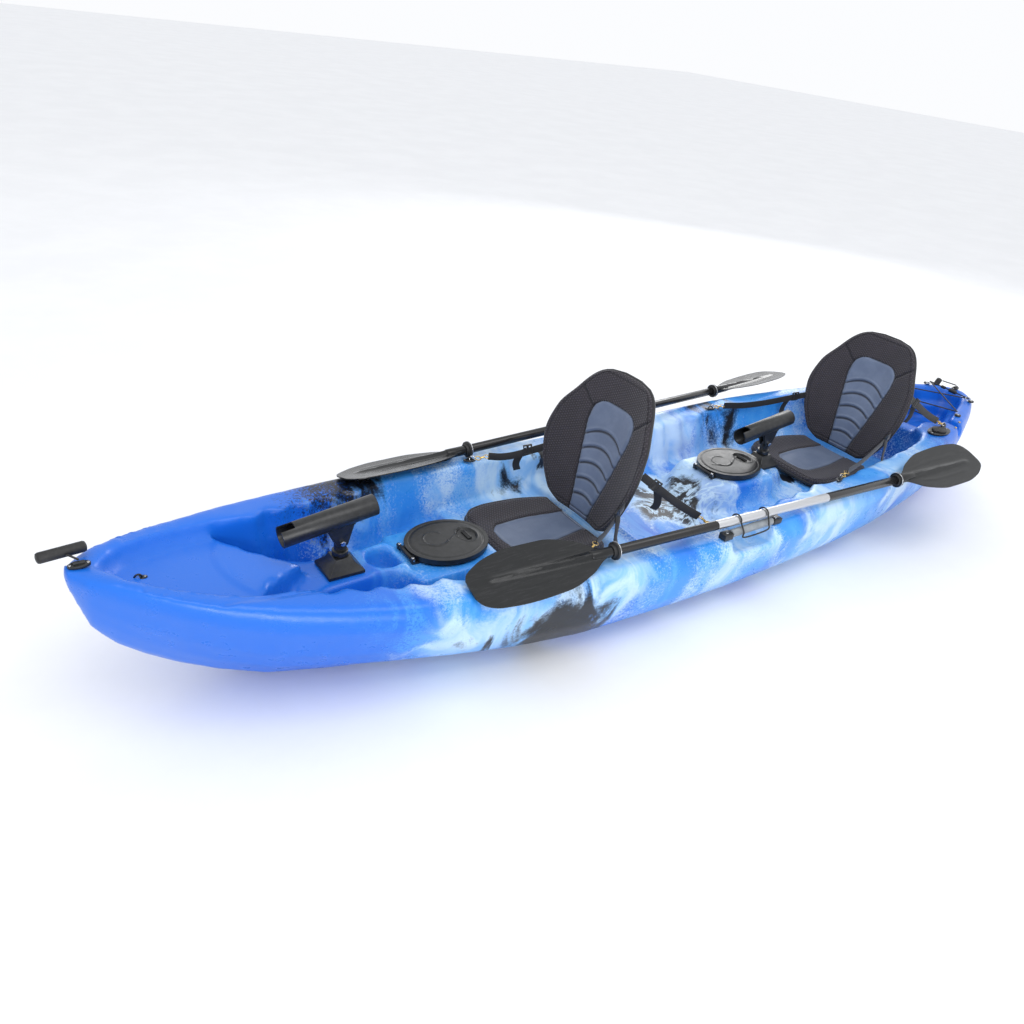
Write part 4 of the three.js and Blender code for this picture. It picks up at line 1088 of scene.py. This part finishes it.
for end in ("rear", "front"):
    on_back = back_place(end)
    for s, side in ((1, "port"), (-1, "starboard")):
        body_back = end + "_back"
        for which, up_share, across, out in (
            ("front", 0.30, 0.985, 0.004), ("back", EYES[end]["grip"], 0.9, -0.022)
        ):
            ex, ey, ez = EYES[end][which]
            eye = Vector((ex, s * ey, ez))
            grip = on_back(up_share, s * across * back_outline(up_share) * BACK_HALF, out)
            name = f"{end}_{which}_strap_{side}"
            eye_at(name + "_eye", eye, 0.35 * s)
            start = snap_hook(name, eye, grip)
            sag = 0.012 if which == "front" else 0.006
            middle = (start + grip) / 2 - Vector((0, 0, sag))
            near = start.lerp(middle, 0.5) - Vector((0, 0, sag * 0.4))
            strap = strap_along(
                name, [start, near, middle, middle.lerp(grip, 0.6), grip], 0.026, 0.0024
            )
            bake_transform(strap)
            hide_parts(f"{end}_seat_{which}_strap_{side}")
            run = (start - grip).normalized()
            face = run.cross(Vector((0, 0, 1))).normalized() * -s
            clasp = grip + run * 0.055
            buckle_at(name + "_buckle", clasp, run, face, body_back)
            tail = [
                clasp + run * along + face * out_by - Vector((0, 0, fall))
                for along, out_by, fall in (
                    (0, 0.004, 0), (0.02, 0.014, 0.022), (0.03, 0.020, 0.055), (0.022, 0.026, 0.085)
                )
            ]
            loose = strap_along(name + "_tail", tail, 0.024, 0.0018, upright=run)
            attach(loose, body_back)
            if which == "back":
                inner = on_back(up_share, s * 0.6 * back_outline(up_share) * BACK_HALF, out * 0.75)
                patch = strap_along(name + "_patch", [grip, inner], 0.030, 0.003)
                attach(patch, body_back)

# ----------------------------------------------------------------------------------------- the paddles
# Two alloy shafts with black sleeves, rubber drip rings and cupped, ribbed nylon blades. A loop of
# shock cord on the rim holds each one down.
blade_black, tree, shader = material("blade_nylon", (0.012, 0.013, 0.014), 0.24)
shader.inputs["Specular IOR Level"].default_value = 0.4
where = tree.nodes.new("ShaderNodeTexCoord").outputs["Object"]
flow = tree.nodes.new("ShaderNodeMapping")
flow.inputs["Scale"].default_value = (3.0, 26.0, 26.0)
tree.links.new(where, flow.inputs["Vector"])
scuff = noise_node(tree, flow.outputs[0], 6.0, 6.0, 0.7)
tree.links.new(
    mixed(
        tree, mapped(tree, scuff.outputs["Fac"], 0.45, 0.75), (0.007, 0.008, 0.009),
        (0.020, 0.021, 0.023)
    ),
    shader.inputs["Base Color"]
)
grained(blade_black, tree, shader, 0.2, scale=500.0, depth=0.0002, variation=0.35)

PADDLE_YAW = math.radians(3.6)
PADDLE_OUT, SHAFT, CORD = 0.380, 0.015, 0.0025
HALF_SHAFT, BLADE_LONG = 0.643, 0.452
blade_outer = smooth_line([
    (0, 0.013), (0.05, 0.018), (0.2, 0.056), (0.42, 0.088), (0.7, 0.096), (0.88, 0.090), (0.95, 0.078),
    (0.985, 0.062), (1, 0.046)
])
blade_inner = smooth_line([
    (0, 0.013), (0.05, 0.018), (0.2, 0.062), (0.42, 0.088), (0.65, 0.086), (0.82, 0.070), (0.94, 0.044),
    (0.985, 0.028), (1, 0.014)
])


def shaft_metal(name, low, high):
    made, tree, shader = material(name, (0.62, 0.63, 0.65), 0.32)
    where = tree.nodes.new("ShaderNodeTexCoord").outputs["Object"]
    apart = tree.nodes.new("ShaderNodeSeparateXYZ")
    tree.links.new(where, apart.inputs[0])
    after = math_node(tree, "GREATER_THAN", apart.outputs["X"], low)
    before = math_node(tree, "LESS_THAN", apart.outputs["X"], high)
    bare = math_node(tree, "MULTIPLY", after, before)
    drawn = tree.nodes.new("ShaderNodeMapping")
    drawn.inputs["Scale"].default_value = (2.0, 300.0, 300.0)
    tree.links.new(where, drawn.inputs["Vector"])
    brushed = noise_node(tree, drawn.outputs[0], 4.0, 4.0, 0.6)
    alloy = mixed(tree, brushed.outputs["Fac"], (0.52, 0.53, 0.55), (0.74, 0.75, 0.77))
    tree.links.new(mixed(tree, bare, (0.012, 0.012, 0.013), alloy), shader.inputs["Base Color"])
    tree.links.new(bare, shader.inputs["Metallic"])
    tree.links.new(
        mapped(
            tree, math_node(tree, "MULTIPLY_ADD", brushed.outputs["Fac"], 0.3, bare), 0.0, 1.3, 0.2,
            0.36
        ),
        shader.inputs["Roughness"]
    )
    return made


for s, side, bare in ((1, "port", (-0.350, 0.145)), (-1, "starboard", (-0.294, 0.240))):
    dress(side + "_paddle_shaft", shaft_metal(side + "_shaft_metal", *bare), 0.0005)
    low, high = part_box(side + "_paddle_shaft")
    centre = (low + high) / 2
    turn = Matrix.Translation(centre) @ Matrix.Rotation(-s * PADDLE_YAW, 4, "Z")
    for e, end in ((1, "bow"), (-1, "stern")):
        slope = Matrix.Rotation(-e * s * math.radians(17), 4, "X")
        root = Matrix.Translation((e * (HALF_SHAFT + 0.0004), 0, 0))
        frame_of_blade = turn @ root @ (Matrix.Rotation(math.pi if e < 0 else 0, 4, "Z") @ slope)
        steps, across = 64, 34
        verts, faces = [], []
        for face_side in (1, -1):
            for i in range(steps + 1):
                u = i / steps
                for j in range(across + 1):
                    v = j / across
                    yy = -blade_inner(u) + (blade_inner(u) + blade_outer(u)) * v
                    cup = 0.009 * u * u + (yy / 0.06) ** 2 * 0.002
                    spine = (0.0108 * (1 - u) + 0.003) * math.exp(-(yy / (0.011 - 0.004 * u)) ** 2)
                    spine *= 1 - float(step(u, 0.82, 0.9))
                    thick = 0.0012 + 0.0012 * (1 - abs(2 * v - 1) ** 3)
                    edge = blade_outer(u) if yy > 0 else blade_inner(u)
                    rib = 0.0012 * float(groove(abs(yy) - 0.45 * edge, 0.001, 0.004))
                    rib *= float(step(u, 0.15, 0.3)) * (1 - float(step(u, 0.7, 0.85)))
                    out = cup + face_side * (thick + spine + rib)
                    verts.append(tuple(frame_of_blade @ Vector((u * BLADE_LONG, yy, out))))
        row = across + 1
        sheet = (steps + 1) * row
        for i in range(steps):
            for j in range(across):
                a = i * row + j
                faces.append((a, a + row, a + row + 1, a + 1))
                faces.append((sheet + a, sheet + a + 1, sheet + a + row + 1, sheet + a + row))
            for a in (i * row, i * row + across):
                faces.append((a, sheet + a, sheet + a + row, a + row))
        for j in range(across):
            for a in (j, steps * row + j):
                faces.append((a, a + 1, sheet + a + 1, sheet + a))
        data = bpy.data.meshes.new(f"{side}_{end}_blade")
        data.from_pydata(verts, [], faces)
        blade = linked(f"{side}_{end}_blade", data)
        face_outward(blade)
        placed(blade, f"{side}_{end}_blade", blade_black, side + "_paddle")
        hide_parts(f"{side}_blade_{end}")
        throat_at = turn @ Vector((e * (HALF_SHAFT - 0.006), 0, 0))
        throat_end = turn @ Vector((e * (HALF_SHAFT + 0.07), 0, 0.0008))
        rod_between(
            f"{side}_{end}_throat", throat_at, throat_end, 0.0158, blade_black, side + "_paddle",
            32, 0.005
        )
        bright = turn @ Vector((e * (HALF_SHAFT - 0.0205), 0, 0))
        ring_at(
            f"{side}_{end}_bright_ring", bright, turn.to_3x3() @ Vector((1, 0, 0)), 0.0262, 0.0013,
            stainless, side + "_paddle"
        )

    # the keeper's cord, over the shaft twice, with a bead at each foot
    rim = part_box(side + "_side_grip")[0].z - 0.001
    round_shaft = SHAFT + CORD + 0.0014
    past = PADDLE_OUT + 0.008 + 0.013 + CORD + 0.0035
    path = []
    for x_at in (0.058, -0.058):
        local = (x_at - centre.x) * math.tan(-PADDLE_YAW) + PADDLE_OUT
        arc = [
            (x_at, s * (local + round_shaft * math.cos(a)), centre.z + round_shaft * math.sin(a))
            for a in np.radians(np.arange(200, -1, -25))
        ]
        foot = (x_at, s * (local - 0.040), rim + 0.006)
        run = [foot, *arc, (x_at, s * past, rim + 0.022), (x_at * 0.9, s * (past + 0.003), rim + 0.003)]
        path += run if x_at > 0 else run[::-1]
    keeper = tube_along(side + "_keeper_cord", spline_through(path, 6), CORD, rubber_black)
    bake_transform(keeper)
    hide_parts(side + "_paddle_keeper")
    for x_at, end in ((0.058, "bow"), (-0.058, "stern")):
        y_at = PADDLE_OUT - 0.040 - (x_at - centre.x) * math.tan(PADDLE_YAW)
        a, b = (x_at, s * (y_at - 0.010), rim + 0.007), (x_at, s * (y_at + 0.006), rim + 0.0068)
        rod_between(
            f"{side}_keeper_bead_{end}", a, b, 0.006, fitting_black, "hull", 20, 0.0015
        )
    # screws of the side grip's caps
    for end in ("front", "rear"):
        cap_low, cap_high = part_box(f"{side}_grip_cap_{end}")
        screw_at(
            f"{side}_grip_screw_{end}",
            (
                (cap_low.x + cap_high.x) / 2 + (0.006 if end == "front" else -0.006),
                (cap_low.y + cap_high.y) / 2, cap_high.z - 0.0006
            ),
            0.0045, "hull"
        )

# --------------------------------------------------------------------- the stern's cord, eyes and rings
# One loop of shock cord is laced across the tank well, through two eyes at the stern, two buttons and
# two eyes by the saddle, with a bead and a cord lock on it.
sheer_at = smooth_line([
    (-1.85, 0.332), (-1.406, 0.326), (-0.5365, 0.300), (0, 0.274), (0.555, 0.290), (1.11, 0.320),
    (1.4985, 0.366), (1.85, 0.428)
])
lacing = {"stern": (-1.7464, 0.0965), "button": (-1.5281, 0.167), "well": (-1.3542, 0.206)}


def hook_point(which, s, lift):
    x_at, y_at = lacing[which]
    return Vector((x_at, s * y_at, sheer_at(x_at) + 0.010 + lift))


route = [hook_point("stern", 1, 0), hook_point("button", -1, 0), hook_point("well", 1, 0),
         hook_point("well", -1, 0.006), hook_point("button", 1, 0.006), hook_point("stern", -1, 0.006)]
path = []
for k, point in enumerate(route):
    before, after = route[k - 1], route[(k + 1) % len(route)]
    for share in (0.06, 0.03, 0.012):
        path.append(point.lerp(before, share))
    path.append(point)
    for share in (0.012, 0.03, 0.06, 0.3, 0.5, 0.7):
        path.append(point.lerp(after, share))
lacing_cord = tube_along("stern_lacing", path, CORD, rubber_black, cyclic=True)
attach(lacing_cord, "hull")
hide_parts("stern_bungee")
for s, side in ((1, "port"), (-1, "starboard")):
    for which in ("stern", "button"):
        at = hook_point(which, s, -0.011)
        at.y += s * (0.012 if which == "stern" else 0.008)
        rod_between(
            f"{which}_button_{side}", at, at + Vector((0, 0, 0.007)), 0.013, fitting_black, "hull",
            32, 0.002
        )
        screw_at(f"{which}_button_screw_{side}", at + Vector((0, 0, 0.0068)), 0.0050, "hull")
    ring_at(
        f"stern_ring_{side}", hook_point("stern", s, -0.001) + Vector((0.004, 0, 0)),
        (0.25, 0.5 * s, 1), 0.012, 0.0016, stainless, "hull"
    )
    ring_at(
        f"well_ring_{side}", hook_point("well", s, -0.001) + Vector((0.002, s * 0.004, 0)),
        (-0.3, 0.3 * s, 1), 0.012, 0.0016, stainless, "hull"
    )
bead_a = route[5].lerp(route[0], 0.30)
rod_between(
    "lacing_bead", bead_a, route[5].lerp(route[0], 0.40), 0.0065, rubber_black, "hull", 20,
    0.0015
)
rod_between(
    "lacing_lock", route[5].lerp(route[0], 0.50), route[5].lerp(route[0], 0.68), 0.0085, fitting_black,
    "hull", 20, 0.002
)
for s, side in ((1, "port"), (-1, "starboard")):
    for k, (x_at, y_at) in enumerate(((-1.484, 0.212), (-1.413, 0.238))):
        screw_at(
            f"notch_insert_{side}_{k}", (x_at, s * y_at, sheer_at(x_at) - 0.004), 0.0042, "hull",
            finish=brass
        )

# Two long black fittings are screwed to the rim beside the console.
for s, side in ((1, "port"), (-1, "starboard")):
    bpy.ops.object.select_all(action="DESELECT")
    bpy.ops.mesh.primitive_cylinder_add(vertices=48, radius=1, depth=1)
    plate = bpy.context.object
    plate.scale = (0.054, 0.017, 0.009)
    bpy.ops.object.transform_apply(location=False, rotation=False, scale=True)
    soften(plate, 0.003)
    at = Vector((0.690, s * 0.352, sheer_at(0.690) + 0.0035))
    plate.location = at
    plate.rotation_euler = (0, -0.03, -0.12 * s)
    placed(plate, f"rim_fitting_{side}", fitting_black, "hull")
    for k, dx in enumerate((-0.040, 0.040)):
        screw_at(
            f"rim_fitting_screw_{side}_{k}", at + Vector((dx, -0.12 * s * dx, 0.0040)), 0.0038, "hull"
        )

# ----------------------------------------------------------------------- end eyes and their fastenings
# The eyes at the bow and the stern carry the toggles, each held by two screws.
for end in ("bow", "stern"):
    low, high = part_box(end + "_pad_eye")
    middle = (low + high) / 2
    for s in (1, -1):
        screw_at(
            f"{end}_eye_screw_{'fore' if s > 0 else 'aft'}",
            (middle.x + s * 0.0185, middle.y, low.z + 0.0062), 0.0036, "hull"
        )
eye_at("bow_well_eye", (1.700, 0, 0.3575), 0.0)
eye_at("rear_floor_eye", (-0.547, 0.039, 0.1508), 0.9)
ring_at("rear_floor_ring", (-0.547, 0.039, 0.160), (0.9, 0.3, 0.5), 0.010, 0.0014, stainless, "hull")
for end in ("rear", "front"):
    low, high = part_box(end + "_rod_base")
    for k, (dx, dy) in enumerate(((0.040, 0.037), (0.040, -0.037), (-0.040, 0.037), (-0.040, -0.037))):
        screw_at(
            f"{end}_rod_screw_{k}", ((low.x + high.x) / 2 + dx, dy, low.z + 0.0105), 0.0042, "hull"
        )
for side in ("port", "starboard"):
    low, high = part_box(side + "_flush_holder")
    cap_low, cap_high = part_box(side + "_flush_cap")
    middle = ((cap_low.x + cap_high.x) / 2 - 0.002, (cap_low.y + cap_high.y) / 2)
    for k, dx in enumerate((-0.052, 0.052)):
        screw_at(
            f"{side}_flush_screw_{k}", (middle[0] + dx, middle[1], high.z - 0.0004), 0.0040, "hull"
        )
